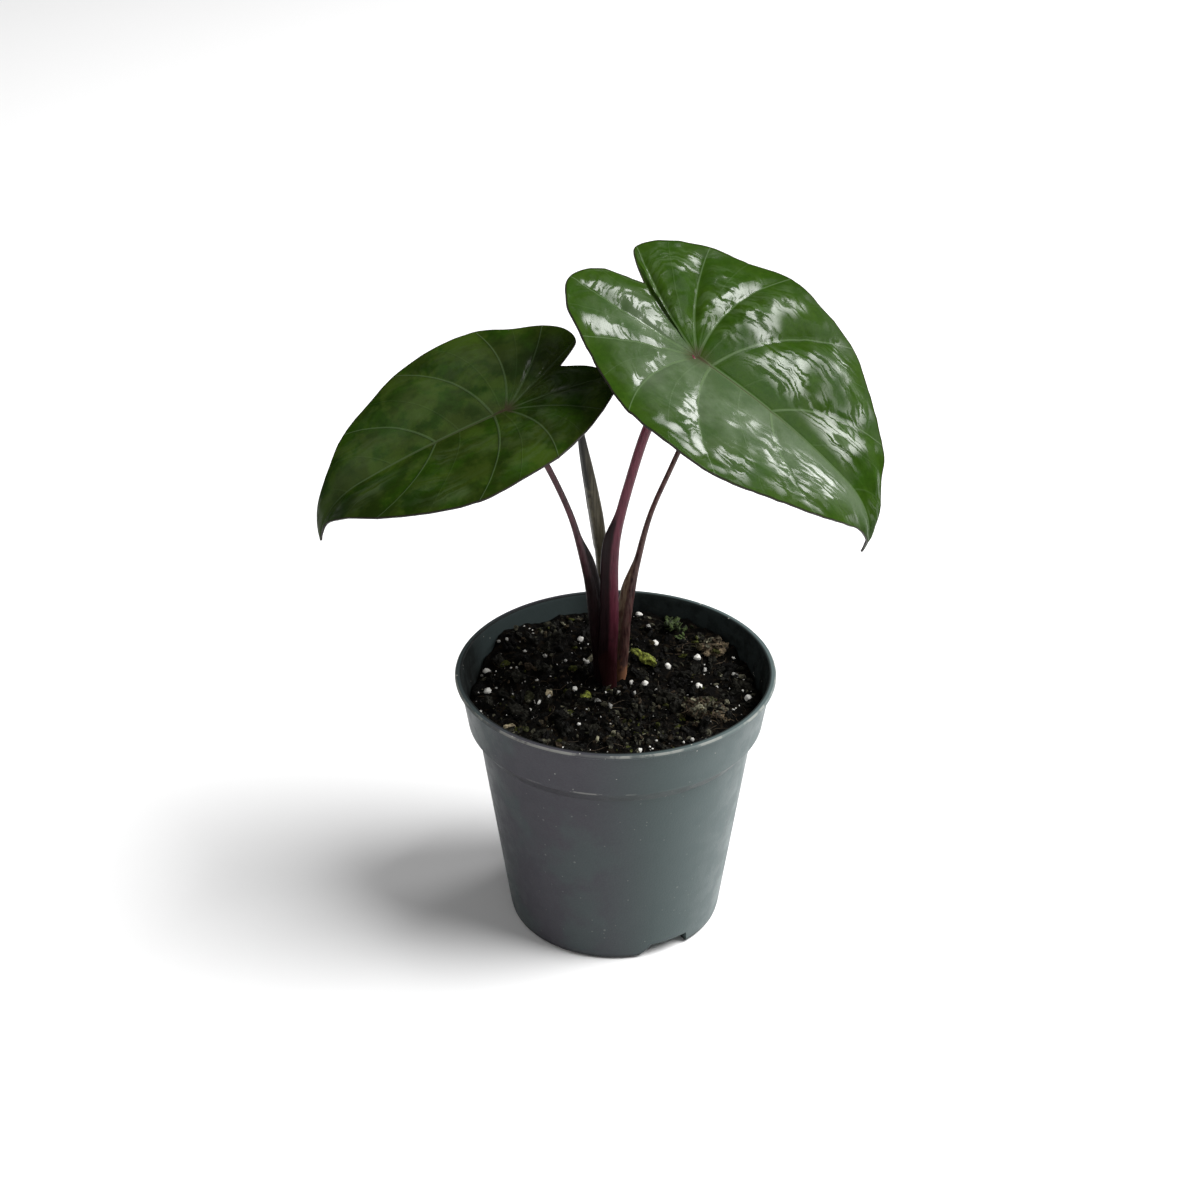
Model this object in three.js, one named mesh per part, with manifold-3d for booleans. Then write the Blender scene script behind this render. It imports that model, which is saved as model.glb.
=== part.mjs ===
// A young alocasia in a 10.5 cm nursery pot, in millimetres, +Z up.
// The origin is the centre of the pot's underside, and the front of the plant faces -Y.

import * as THREE from 'three';
import { mergeVertices } from 'three/addons/utils/BufferGeometryUtils.js';
import Module from 'manifold-3d';

const wasm = await Module();
wasm.setup();

// Driving sizes of the pot
const POT_HEIGHT = 91.7;
const POT_WALL = 1.1;
const LIP_RADIUS = 52.5;
const COLLAR_TOP_RADIUS = 51.0;
const COLLAR_FOOT_RADIUS = 48.5;
const COLLAR_FOOT_HEIGHT = 74.5;
const STEP_RADIUS = 45.2;
const STEP_HEIGHT = 70.1;
const FOOT_RADIUS = 34.25;
const FOOT_CORNER_RADIUS = 35.85;
const FOOT_CORNER_HEIGHT = 3.0;
const POT_SIDES = 48;
const PAD_RADIUS = 16;
const GUTTER_HEIGHT = 3.4;
const GUTTER_OUTER_RADIUS = 30.8;
const NOTCH_COUNT = 3;
const NOTCH_WIDTH = 19;
const NOTCH_HEIGHT = 3.4;
const NOTCH_TURN = 30;
const DRAIN_COUNT = 6;
const DRAIN_RADIUS = 3.6;
const DRAIN_RING_RADIUS = 24.4;

// Driving sizes of the potting mix
const SOIL_TOP = 80;
const BANK_HEIGHT = 5.5;
const SOIL_RINGS = 9;
const SOIL_SIDES = 36;
const SEED = 7;

// Clearance between pieces that touch
const GAP = 0.3;

// Thickness of a leaf blade, its share above the middle surface, and the depth of the ribs under it
const BLADE_THICKNESS = 0.8;
const UPPER_SHARE = 0.25;
const MIDRIB_DEPTH = 1.1;
const VEIN_DEPTH = 0.5;

// How far a vein bows backwards on its way to the margin, as a share of its length
// The bow fades over the last veins towards the notch
const VEIN_BOW = 0.22;
const BOW_FADE = 6;

// Rows of the blade's mesh, as shares of the way from the midrib to the margin
const BLADE_ROWS = [0, 0.18, 0.38, 0.6, 0.82, 1];

// Steps of the mesh between two neighbouring veins
const STEPS_PER_VEIN = 2;

// Size of the small blade at the back against the right one
const BACK_SCALE = 0.46;

const COLOURS = {
  pot: 0x39474a,
  soil: 0x14110d,
  corm: 0x5a4030,
  bladeLeft: 0x1f3a12,
  bladeRight: 0x2f5220,
  petioleLeft: 0x2c1519,
  petioleRight: 0x5d1f33,
  petioleBack: 0x3d1c20,
  rolledLeaf: 0x3a3a22,
  bark: 0x4a2c1c,
  tan: 0xa08a62,
  moss: 0x6d7a24,
  perlite: 0xe8e6de,
};

// A blade lies in flat coordinates first: x from the stalk end towards the tip, y to the leaf's left.
// Roots are where the veins leave the midrib, from the tip back. The rest fan out from the stalk end.
// Each half lists where its veins meet the margin, from the tip round the lobe to the notch.
const RIGHT_ROOTS = [88, 77, 63, 44, 28, 16.5, 5, 2];
const RIGHT_HALVES = {
  left: [
    [88, 0], [80.5, 2.4], [73, 6.8], [67, 11.5], [60.5, 18.5], [46, 30.3], [34.5, 38.5], [18.5, 43.4],
    [6, 45.4], [-8, 41.9], [-21, 38.1], [-32.5, 30], [-38.6, 21], [-34.7, 15.8], [-28.2, 11.2],
  ],
  right: [
    [88, 0], [80.5, -2.4], [73, -7], [67, -14], [58, -24], [43.6, -33.8], [29, -41.6], [13.5, -44.2],
    [-1.8, -42.2], [-16, -34.2], [-29.5, -25.8], [-40.5, -18], [-46, -7], [-41.5, 4.5], [-28.2, 11.2],
  ],
};
const LEFT_ROOTS = [75.5, 66, 55, 38.5, 23.5, 15.5, 4, 1.5];
const LEFT_HALVES = {
  left: [
    [75.5, 0], [70.5, 1.4], [65, 3.8], [58, 10.8], [48.5, 21.3], [34, 30.2], [18.5, 35.4], [5.5, 35.2],
    [-8, 32.2], [-18, 26], [-26.5, 19], [-32.5, 12], [-34.2, 4], [-30, -3.4], [-21, -8.2],
  ],
  right: [
    [75.5, 0], [70.5, -3.7], [65, -7.3], [57, -12.3], [48.6, -19.9], [38.2, -26.5], [27.2, -33.1],
    [13, -36.1], [-1.5, -35.6], [-12.5, -30.9], [-21.5, -27], [-27.5, -21.8], [-29.2, -16.5],
    [-25.8, -12.4], [-21, -8.2],
  ],
};

// Angles are in degrees: heading from +X, droop of the tip, roll about the midrib, and the rise of
// each half from the midrib. The bends are in radians per millimetre.
const LEAVES = {
  left: {
    junction: [-34.0, -2.0, 185.4],
    heading: 194.3,
    droop: 18.4,
    roll: -14.5,
    rise: 11.8,
    sideBend: 0.0061,
    archBend: 0.0036,
    lobeBend: 0.0004,
    tipBend: 0.038,
    tipStart: 50.1,
    quilt: 0.6,
    wave: 0.35,
    roots: LEFT_ROOTS,
    halves: LEFT_HALVES,
    colour: COLOURS.bladeLeft,
  },
  right: {
    junction: [24.8, 6.0, 199.5],
    heading: -27.5,
    droop: 23.5,
    roll: 12.0,
    rise: 11.1,
    sideBend: 0.0014,
    archBend: 0.0053,
    lobeBend: -0.0054,
    tipBend: 0.0426,
    tipStart: 59.6,
    quilt: 0.9,
    wave: 0.4,
    roots: RIGHT_ROOTS,
    halves: RIGHT_HALVES,
    colour: COLOURS.bladeRight,
  },
  back: {
    junction: [29.4, 27.9, 175.7],
    heading: 4,
    droop: 30,
    roll: 2,
    rise: 14,
    sideBend: 0.01,
    archBend: 0.009,
    lobeBend: -0.002,
    tipBend: 0.05,
    tipStart: 28,
    quilt: 0.35,
    wave: 0.3,
    roots: RIGHT_ROOTS.map((root) => root * BACK_SCALE),
    halves: smallHalves(BACK_SCALE),
    colour: COLOURS.bladeRight,
  },
};

// Stalks, from the corm up. Each row is a point of the centre line, then the radius there.
// The sheath is the low wing along one side: its direction, height, and where it ends.
const STALKS = {
  petiole_left: {
    line: [
      [-4.2, 13, 66.5, 2.7], [-4.5, 12.6, 79, 2.6], [-5.2, 11.1, 90, 2.4], [-6.6, 9.1, 104.7, 2.2],
      [-8, 7.4, 117, 1.8], [-10, 5.9, 127.7, 1.4], [-14.3, 3.4, 146, 1.05], [-21.3, 0.8, 164.5, 1.0],
      [-27.3, -0.7, 175.8, 1.1],
    ],
    sheath: { turn: 35, height: 2.0, from: 84, to: 140 },
    colour: COLOURS.petioleLeft,
  },
  petiole_right: {
    line: [
      [-1.7, 7.2, 66.5, 2.4], [-1.8, 7.4, 80, 2.3], [-1.5, 7.3, 92.4, 2.1], [-1, 7.2, 105.8, 2.0],
      [-1, 7, 117, 1.95], [-0.9, 6.9, 128.3, 1.9], [0.3, 6.8, 139.2, 1.75], [4.1, 6.5, 155.8, 1.6],
      [9.6, 6.3, 175.1, 1.6], [15.9, 6.1, 187.8, 1.6],
    ],
    sheath: { turn: 185, height: 2.0, from: 84, to: 147 },
    colour: COLOURS.petioleRight,
  },
  petiole_back: {
    line: [
      [2.3, 13, 66.5, 2.1], [1.9, 13.5, 80.9, 2.0], [2.6, 14.3, 90.1, 1.9], [3.5, 15.5, 101, 1.7],
      [5.1, 16.9, 111.5, 1.5], [7, 18.3, 121, 1.2], [11.2, 20.9, 137.2, 0.9], [17.5, 23.5, 152.2, 0.85],
      [23.8, 26.1, 166, 0.9],
    ],
    sheath: { turn: 170, height: 1.8, from: 86, to: 124 },
    colour: COLOURS.petioleBack,
  },
};
const ROLLED_LEAF = {
  line: [
    [-2.6, 17.6, 66.5, 1.2], [-3.1, 16.9, 81.6, 1.2], [-4.1, 16, 93, 1.2], [-4.4, 14.7, 109, 1.5],
    [-4.6, 13.5, 124.6, 1.9], [-5.3, 12.9, 132.3, 2.1], [-6.4, 12.2, 141.4, 2.2], [-7.8, 11.5, 150.8, 2.0],
    [-9.3, 10.8, 160, 1.7], [-10.7, 10, 169.5, 1.25], [-11.9, 9.2, 180.3, 0.35],
  ],
  sheath: { turn: 330, height: 0.5, from: 120, to: 172 },
  colour: COLOURS.rolledLeaf,
};
const STALK_SIDES = 12;
const STALK_STEP = 7;

// How far under the blade's upper face a stalk's own end lies, and its size there
const HEAD_DEPTH = 1.5;
const HEAD_SPREAD = 1.1;

const CORM = { x: -1.6, y: 12.4, radius: 8.2, top: 66.2, height: 17 };

// Lumps lying on the mix: place, half sizes and turn in degrees
const LUMPS = [
  { name: 'bark_back', at: [33.4, 27], size: [4.6, 3.4, 2.6], turn: 20, colour: COLOURS.bark },
  { name: 'bark_front', at: [29.2, -11.2], size: [7, 4.3, 2.6], turn: -15, colour: COLOURS.bark },
  { name: 'bark_chip', at: [-34.6, -16.9], size: [2.3, 1.7, 1.2], turn: 40, colour: COLOURS.tan },
  { name: 'pebble_tan', at: [-22.6, 2.3], size: [1.8, 1.5, 1.4], turn: 0, colour: COLOURS.tan },
  { name: 'pebble_olive', at: [-9.6, 0.9], size: [2.0, 1.8, 1.6], turn: 30, colour: COLOURS.moss },
  { name: 'moss', at: [9.8, 21.9], size: [6.2, 1.8, 1.5], turn: -50, colour: COLOURS.moss },
];
const PERLITE_RADIUS = 1.25;
const PERLITE = [
  [-11.4, 31], [13.6, 29.8], [17.6, 17.2], [-43, 15.8], [-42.1, 2.4],
  [9.7, 7.3], [27.5, 7.2], [27.7, 22.1], [-25.6, -2.9], [43.6, -0.7],
];

const degrees = THREE.MathUtils.degToRad;
const { clamp, lerp, smoothstep } = THREE.MathUtils;

// Small repeatable random numbers
function randomNumbers(seed) {
  let state = seed;
  return () => {
    state = (state * 16807) % 2147483647;
    return state / 2147483647;
  };
}

// The small blade is the right one, mirrored and reduced
function smallHalves(scale) {
  const reduce = (rows) => rows.map(([x, y]) => [x * scale, -y * scale]);
  return { left: reduce(RIGHT_HALVES.right), right: reduce(RIGHT_HALVES.left) };
}

// Closed meshes: corners are merged by place, and flattened triangles dropped
function closedGeometry(corners, triangles) {
  const raw = new THREE.BufferGeometry();
  raw.setAttribute('position', new THREE.Float32BufferAttribute(corners.flat(), 3));
  raw.setIndex(triangles.flat());
  return weld(raw);
}

function weld(geometry) {
  const bare = geometry.clone();
  bare.deleteAttribute('normal');
  bare.deleteAttribute('uv');
  const merged = mergeVertices(bare, 1e-3);
  const kept = [];
  const index = merged.index.array;
  for (let i = 0; i < index.length; i += 3) {
    const [a, b, c] = [index[i], index[i + 1], index[i + 2]];
    if (a !== b && b !== c && c !== a) kept.push(a, b, c);
  }
  merged.setIndex(kept);
  return merged;
}

function solidOf(geometry) {
  const merged = weld(geometry);
  const vertProperties = new Float32Array(merged.attributes.position.array);
  const triVerts = new Uint32Array(merged.index.array);
  return new wasm.Manifold(new wasm.Mesh({ numProp: 3, vertProperties, triVerts }));
}

function geometryOf(solid) {
  const mesh = solid.getMesh();
  const geometry = new THREE.BufferGeometry();
  geometry.setAttribute('position', new THREE.Float32BufferAttribute(mesh.vertProperties, 3));
  geometry.setIndex(Array.from(mesh.triVerts));
  return geometry;
}

function cut(geometry, tools) {
  let solid = solidOf(geometry);
  for (const tool of tools) solid = solid.subtract(solidOf(tool));
  return geometryOf(largestBody(solid));
}

// The main body, without a scrap or a sealed hollow that a cut leaves behind
function largestBody(solid) {
  const bodies = solid.decompose();
  return bodies.reduce((best, body) => (body.volume() > best.volume() ? body : best));
}

function piece(name, geometry, colour, roughness) {
  const material = new THREE.MeshStandardMaterial({ color: colour, roughness, metalness: 0 });
  const mesh = new THREE.Mesh(geometry, material);
  mesh.name = name;
  return mesh;
}

// A round piece from its profile of [radius, height] points, turned about +Z
function turned(profile, sides) {
  const points = profile.map(([radius, height]) => new THREE.Vector2(radius, height));
  const geometry = new THREE.LatheGeometry(points, sides);
  geometry.rotateX(Math.PI / 2);
  return geometry;
}

// The pot

function outerRadius(height) {
  const share = (height - FOOT_CORNER_HEIGHT) / (STEP_HEIGHT - FOOT_CORNER_HEIGHT);
  if (share <= 1) return lerp(FOOT_CORNER_RADIUS, STEP_RADIUS, share);
  const collar = (height - COLLAR_FOOT_HEIGHT) / (POT_HEIGHT - 1.5 - COLLAR_FOOT_HEIGHT);
  return lerp(COLLAR_FOOT_RADIUS, COLLAR_TOP_RADIUS, clamp(collar, 0, 1));
}

function potGeometry() {
  const floor = GUTTER_HEIGHT + POT_WALL;
  const profile = [
    [0, 0],
    [PAD_RADIUS, 0],
    [PAD_RADIUS + 1.5, GUTTER_HEIGHT],
    [GUTTER_OUTER_RADIUS, GUTTER_HEIGHT],
    [GUTTER_OUTER_RADIUS + 0.9, 0],
    [FOOT_RADIUS, 0],
    [FOOT_RADIUS + 1.15, 0.9],
    [FOOT_CORNER_RADIUS, FOOT_CORNER_HEIGHT],
    [STEP_RADIUS, STEP_HEIGHT],
    [COLLAR_FOOT_RADIUS, COLLAR_FOOT_HEIGHT],
    [COLLAR_TOP_RADIUS, POT_HEIGHT - 1.5],
    [LIP_RADIUS - 0.15, POT_HEIGHT - 1.3],
    [LIP_RADIUS, POT_HEIGHT - 0.7],
    [LIP_RADIUS - 0.4, POT_HEIGHT],
    [COLLAR_TOP_RADIUS - POT_WALL + 0.4, POT_HEIGHT],
    [COLLAR_TOP_RADIUS - POT_WALL, POT_HEIGHT - 1.2],
    [COLLAR_FOOT_RADIUS - POT_WALL, COLLAR_FOOT_HEIGHT + 0.5],
    [STEP_RADIUS - POT_WALL, STEP_HEIGHT + 0.5],
    [FOOT_CORNER_RADIUS - POT_WALL, floor],
    [PAD_RADIUS + 0.6, floor],
    [PAD_RADIUS - 0.9, POT_WALL],
    [0, POT_WALL],
  ];
  const tools = [];
  for (let i = 0; i < NOTCH_COUNT; i += 1) tools.push(footNotch((i * 360) / NOTCH_COUNT + NOTCH_TURN));
  for (let i = 0; i < DRAIN_COUNT; i += 1) tools.push(drainHole((i * 360) / DRAIN_COUNT + NOTCH_TURN));
  return cut(turned(profile, POT_SIDES), tools);
}

// A notch through the foot ring, sloping at one end, turned from the front of the pot
function footNotch(turn) {
  const half = NOTCH_WIDTH / 2;
  const shape = new THREE.Shape();
  shape.moveTo(-half, -1);
  shape.lineTo(half, -1);
  shape.lineTo(half, NOTCH_HEIGHT - 0.8);
  shape.lineTo(half - 0.8, NOTCH_HEIGHT);
  shape.lineTo(-half + 3.5, NOTCH_HEIGHT);
  shape.lineTo(-half, 0);
  const geometry = new THREE.ExtrudeGeometry(shape, { depth: 8, bevelEnabled: false });
  geometry.rotateX(Math.PI / 2);
  geometry.translate(0, -GUTTER_OUTER_RADIUS + 0.4, 0);
  geometry.rotateZ(degrees(turn));
  return geometry;
}

function drainHole(turn) {
  const geometry = new THREE.CylinderGeometry(DRAIN_RADIUS, DRAIN_RADIUS, 6, 16);
  geometry.rotateX(Math.PI / 2);
  geometry.translate(0, -DRAIN_RING_RADIUS, GUTTER_HEIGHT);
  geometry.rotateZ(degrees(turn));
  return geometry;
}

// The potting mix

function moundHeight(x, y, centreX, centreY, height, spread) {
  const distance = ((x - centreX) ** 2 + (y - centreY) ** 2) / (2 * spread * spread);
  return height * Math.exp(-distance);
}

// Lumpy surface, banked up at the back wall
function soilHeight(x, y) {
  const broad = 0.9 * Math.sin(0.42 * x + 0.6) * Math.sin(0.37 * y + 1.1);
  const fine = 0.5 * Math.sin(0.71 * x - 0.55 * y);
  const bank = BANK_HEIGHT * smoothstep(y, 4, 47);
  const mound = moundHeight(x, y, -37, 31, 3.6, 5.5);
  const clump = moundHeight(x, y, 31, -14, 1.4, 6);
  return SOIL_TOP + broad + fine + bank + mound + clump;
}

function soilGeometry(tools) {
  const random = randomNumbers(SEED);
  const floor = GUTTER_HEIGHT + POT_WALL + GAP;
  const wallGap = POT_WALL + GAP;
  const corners = [[0, 0, soilHeight(0, 0)]];
  const triangles = [];
  const ring = (radiusAt, heightAt) => {
    for (let k = 0; k < SOIL_SIDES; k += 1) {
      const angle = (2 * Math.PI * k) / SOIL_SIDES;
      const radius = radiusAt(angle);
      const [x, y] = [radius * Math.cos(angle), radius * Math.sin(angle)];
      corners.push([x, y, heightAt(x, y)]);
    }
  };
  // The pot widens upwards, so the mix reaches further out where it is banked up
  const rimAt = (angle) => {
    const height = soilHeight(COLLAR_FOOT_RADIUS * Math.cos(angle), COLLAR_FOOT_RADIUS * Math.sin(angle));
    return outerRadius(height - 2) - wallGap - 0.15;
  };
  for (let i = 1; i <= SOIL_RINGS; i += 1) {
    const share = i / SOIL_RINGS;
    const jitter = i < SOIL_RINGS ? 1 : 0;
    const spread = (angle) => rimAt(angle) * share + jitter * (random() - 0.5) * 1.6;
    ring(spread, (x, y) => soilHeight(x, y) + jitter * (random() - 0.5) * 1.5);
  }
  const lower = [
    [COLLAR_FOOT_RADIUS - wallGap - 0.2, COLLAR_FOOT_HEIGHT + 0.8],
    [STEP_RADIUS - wallGap - 0.2, STEP_HEIGHT + 0.8],
    [FOOT_CORNER_RADIUS - wallGap - 0.1, floor],
    [PAD_RADIUS + 0.3, floor],
    [PAD_RADIUS - 1.4, POT_WALL + GAP],
  ];
  for (const [radius, height] of lower) ring(() => radius, () => height);
  corners.push([0, 0, POT_WALL + GAP]);
  const rings = SOIL_RINGS + lower.length;
  for (let k = 0; k < SOIL_SIDES; k += 1) {
    const next = (k + 1) % SOIL_SIDES;
    triangles.push([0, 1 + k, 1 + next]);
    for (let i = 0; i < rings - 1; i += 1) {
      const [a, b] = [1 + i * SOIL_SIDES + k, 1 + i * SOIL_SIDES + next];
      triangles.push([a, a + SOIL_SIDES, b + SOIL_SIDES], [a, b + SOIL_SIDES, b]);
    }
    const last = 1 + (rings - 1) * SOIL_SIDES;
    triangles.push([last + k, corners.length - 1, last + next]);
  }
  return cut(closedGeometry(corners, triangles), tools);
}

// A rough lump half sunk in the mix, grown by a clearance where it only makes room
function lumpGeometry(lump, seed, grow) {
  const random = randomNumbers(seed);
  const [x, y] = lump.at;
  const geometry = weld(new THREE.IcosahedronGeometry(1, 1));
  const places = geometry.attributes.position;
  for (let i = 0; i < places.count; i += 1) {
    const bulge = 0.86 + 0.26 * random();
    places.setXYZ(i, places.getX(i) * bulge, places.getY(i) * bulge, places.getZ(i) * bulge);
  }
  const [sizeX, sizeY, sizeZ] = lump.size.map((half) => half + grow);
  geometry.scale(sizeX, sizeY, sizeZ);
  geometry.rotateZ(degrees(lump.turn));
  geometry.translate(x, y, soilHeight(x, y) + 0.3 * lump.size[2]);
  return geometry;
}

// Leaf blades

// Distances along and across an arc that starts at an angle and bends evenly
function alongArc(start, bend, distance) {
  const end = start + bend * distance;
  return [(Math.sin(end) - Math.sin(start)) / bend, (Math.cos(start) - Math.cos(end)) / bend];
}

// The midrib arches over the blade and hooks down at the tip
function midribPoint(leaf, x) {
  if (x < 0) return [...alongArc(0, -leaf.lobeBend, x), -leaf.lobeBend * x];
  const first = Math.min(x, leaf.tipStart);
  const angle = -leaf.archBend * first;
  const [along, up] = alongArc(0, -leaf.archBend, first);
  if (x <= leaf.tipStart) return [along, up, angle];
  const bend = -leaf.archBend - leaf.tipBend;
  const [more, drop] = alongArc(angle, bend, x - first);
  return [along + more, up + drop, angle + bend * (x - first)];
}

// Flat coordinates to the blade's curved middle surface. The crease fades behind the stalk end.
function bladePoint(leaf, x, y) {
  const [along, up, angle] = midribPoint(leaf, x);
  const soft = 0.35 * Math.max(0, -x);
  const [across] = alongArc(degrees(leaf.rise), -leaf.sideBend, Math.abs(y));
  const [, rise] = alongArc(degrees(leaf.rise), -leaf.sideBend, Math.hypot(y, soft) - soft);
  const [forward, upward] = [along - Math.sin(angle) * rise, up + Math.cos(angle) * rise];
  return new THREE.Vector3(forward, Math.sign(y) * across, upward);
}

function bladeNormal(leaf, x, y) {
  const step = 0.2;
  const alongX = bladePoint(leaf, x + step, y).sub(bladePoint(leaf, x - step, y));
  const alongY = bladePoint(leaf, x, y + step).sub(bladePoint(leaf, x, y - step));
  return alongX.cross(alongY).normalize();
}

// Vein number s (0 at the tip, whole numbers on veins) at share t of its way to the margin
function veinPoint(roots, side, margin, s, t) {
  const last = margin.points.length - 1;
  const low = Math.floor(s);
  const root = new THREE.Vector2(lerp(roots[low] ?? 0, roots[low + 1] ?? 0, s - low), 0);
  const edge = margin.getPoint(s / last);
  const end = new THREE.Vector2(edge.x, edge.y);
  const chord = end.clone().sub(root);
  const bow = side * VEIN_BOW * clamp((last - s) / BOW_FADE, 0, 1) ** 1.5;
  const control = root.clone().addScaledVector(chord, 0.5);
  control.add(new THREE.Vector2(-chord.y, chord.x).multiplyScalar(bow));
  const curve = new THREE.QuadraticBezierCurve(root, control, end);
  return curve.getPoint(t);
}

// Relief grows with the room between veins, and ends at the margin
function reliefShare(t) {
  return 6.75 * t * t * (1 - t);
}

// The tissue bulges up between veins, and the margin is gently waved
function bladeLift(leaf, s, t) {
  const between = Math.sin(Math.PI * s) ** 2;
  const quilt = leaf.quilt * between * reliefShare(t) * clamp(s / 4, 0, 1);
  const wave = leaf.wave * t ** 3 * Math.sin(1.9 * s) * clamp(s / 3, 0, 1);
  return quilt + wave;
}

// Ribs under the midrib and the veins
function ribDepth(leaf, x, s, t) {
  const tip = leaf.roots[0];
  if (t === 0) return MIDRIB_DEPTH * clamp(1.05 - x / tip, 0.1, 1);
  return Number.isInteger(s) && s > 0 ? VEIN_DEPTH * reliefShare(t) : 0;
}

function bladeGeometry(leaf, grow = 0) {
  const top = [];
  const bottom = [];
  const faces = [];
  const half = (rows, side) => {
    const first = top.length;
    const margin = new THREE.CatmullRomCurve3(
      rows.map(([x, y]) => new THREE.Vector3(x, y, 0)), false, 'catmullrom', 0.5);
    const steps = (rows.length - 1) * STEPS_PER_VEIN;
    for (let j = 0; j <= steps; j += 1) {
      const s = j / STEPS_PER_VEIN;
      for (const t of BLADE_ROWS) {
        const { x, y } = veinPoint(leaf.roots, side, margin, s, t);
        const lift = bladeLift(leaf, s, t);
        const place = bladePoint(leaf, x, y);
        const normal = bladeNormal(leaf, x, y);
        const over = lift + BLADE_THICKNESS * UPPER_SHARE;
        const under = over - BLADE_THICKNESS - ribDepth(leaf, x, s, t) - grow;
        top.push(place.clone().addScaledVector(normal, over + grow));
        bottom.push(place.clone().addScaledVector(normal, under));
      }
    }
    const rowCount = BLADE_ROWS.length;
    for (let j = 0; j < steps; j += 1) {
      for (let i = 0; i < rowCount - 1; i += 1) {
        const a = first + j * rowCount + i;
        const b = a + rowCount;
        const pair = [[a, b, b + 1], [a, b + 1, a + 1]];
        faces.push(...(side < 0 ? pair : pair.map(([p, q, r]) => [p, r, q])));
      }
    }
  };
  half(leaf.halves.left, 1);
  half(leaf.halves.right, -1);
  return sheetGeometry(top, bottom, faces);
}

// A closed sheet from two like faces: the open edges of the upper face get the rim
function sheetGeometry(top, bottom, faces) {
  const upper = closedGeometry(top.map((p) => p.toArray()), faces);
  const places = upper.attributes.position;
  const keyOf = (place) => place.map((v) => Math.round(Math.fround(v) * 500)).join();
  const under = new Map(top.map((p, i) => [keyOf(p.toArray()), bottom[i]]));
  const corners = [];
  for (let i = 0; i < places.count; i += 1) corners.push([places.getX(i), places.getY(i), places.getZ(i)]);
  const count = corners.length;
  for (let i = 0; i < count; i += 1) corners.push(under.get(keyOf(corners[i])).toArray());
  const index = Array.from(upper.index.array);
  const triangles = [];
  const edges = new Map();
  for (let i = 0; i < index.length; i += 3) {
    const [a, b, c] = index.slice(i, i + 3);
    triangles.push([a, b, c], [a + count, c + count, b + count]);
    for (const [p, q] of [[a, b], [b, c], [c, a]]) {
      if (edges.has(`${q},${p}`)) edges.delete(`${q},${p}`);
      else edges.set(`${p},${q}`, [p, q]);
    }
  }
  for (const [p, q] of edges.values()) triangles.push([p, p + count, q + count], [p, q + count, q]);
  return closedGeometry(corners, triangles);
}

// A stalk with its own end set just under its blade
function withHead(stalk, leaf) {
  const blade = placeBlade(new THREE.Object3D(), leaf);
  const end = blade.localToWorld(new THREE.Vector3(0, 0, -HEAD_DEPTH));
  const radius = stalk.line.at(-1)[3] * HEAD_SPREAD;
  return { ...stalk, line: [...stalk.line, [end.x, end.y, end.z, radius]] };
}

function placeBlade(object, leaf) {
  object.position.set(...leaf.junction);
  object.rotation.set(degrees(leaf.roll), degrees(leaf.droop), degrees(leaf.heading), 'ZYX');
  object.updateMatrixWorld();
  return object;
}

// Stalks

// Height of the sheath's wing at a height on the stalk, rising and ending in rounded shoulders
function wingHeight(sheath, z) {
  const start = smoothstep(z, sheath.from - 6, sheath.from + 8);
  const end = 1 - smoothstep(z, sheath.to - 14, sheath.to);
  return sheath.height * start * end;
}

function stalkGeometry(stalk, grow = 0) {
  const curve = new THREE.CatmullRomCurve3(stalk.line.map(([x, y, z]) => new THREE.Vector3(x, y, z)));
  const widths = new THREE.CatmullRomCurve3(stalk.line.map((row) => new THREE.Vector3(row[3], 0, 0)));
  const rings = Math.round(curve.getLength() / STALK_STEP);
  const corners = [];
  const triangles = [];
  for (let i = 0; i <= rings; i += 1) {
    const u = i / rings;
    const centre = curve.getPoint(u);
    const radius = widths.getPoint(u).x + grow;
    const ahead = curve.getTangent(u);
    const side = new THREE.Vector3(1, 0, 0).addScaledVector(ahead, -ahead.x).normalize();
    const back = ahead.clone().cross(side);
    for (let k = 0; k < STALK_SIDES; k += 1) {
      const angle = (2 * Math.PI * k) / STALK_SIDES + degrees(stalk.sheath.turn);
      const facing = Math.max(0, Math.cos(angle - degrees(stalk.sheath.turn)));
      const reach = radius + wingHeight(stalk.sheath, centre.z) * facing ** 5;
      const place = centre.clone().addScaledVector(side, reach * Math.cos(angle));
      place.addScaledVector(back, reach * Math.sin(angle));
      corners.push(place.toArray());
    }
  }
  const foot = corners.push(curve.getPoint(0).toArray()) - 1;
  const head = corners.push(curve.getPoint(1).toArray()) - 1;
  for (let k = 0; k < STALK_SIDES; k += 1) {
    const next = (k + 1) % STALK_SIDES;
    triangles.push([foot, next, k], [head, rings * STALK_SIDES + k, rings * STALK_SIDES + next]);
    for (let i = 0; i < rings; i += 1) {
      const [a, b] = [i * STALK_SIDES + k, i * STALK_SIDES + next];
      triangles.push([a, b, b + STALK_SIDES], [a, b + STALK_SIDES, a + STALK_SIDES]);
    }
  }
  return closedGeometry(corners, triangles);
}

function cormGeometry(grow = 0) {
  const { x, y, radius, top, height } = CORM;
  const profile = [
    [0, top - height - grow],
    [radius * 0.55 + grow, top - height - grow],
    [radius + grow, top - height * 0.6],
    [radius + grow, top - height * 0.25],
    [radius * 0.88 + grow, top + grow],
    [0, top + grow],
  ];
  const geometry = turned(profile, 20);
  geometry.translate(x, y, 0);
  return geometry;
}

// Putting the plant together

const model = new THREE.Group();
model.add(piece('pot', potGeometry(), COLOURS.pot, 0.45));

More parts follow.
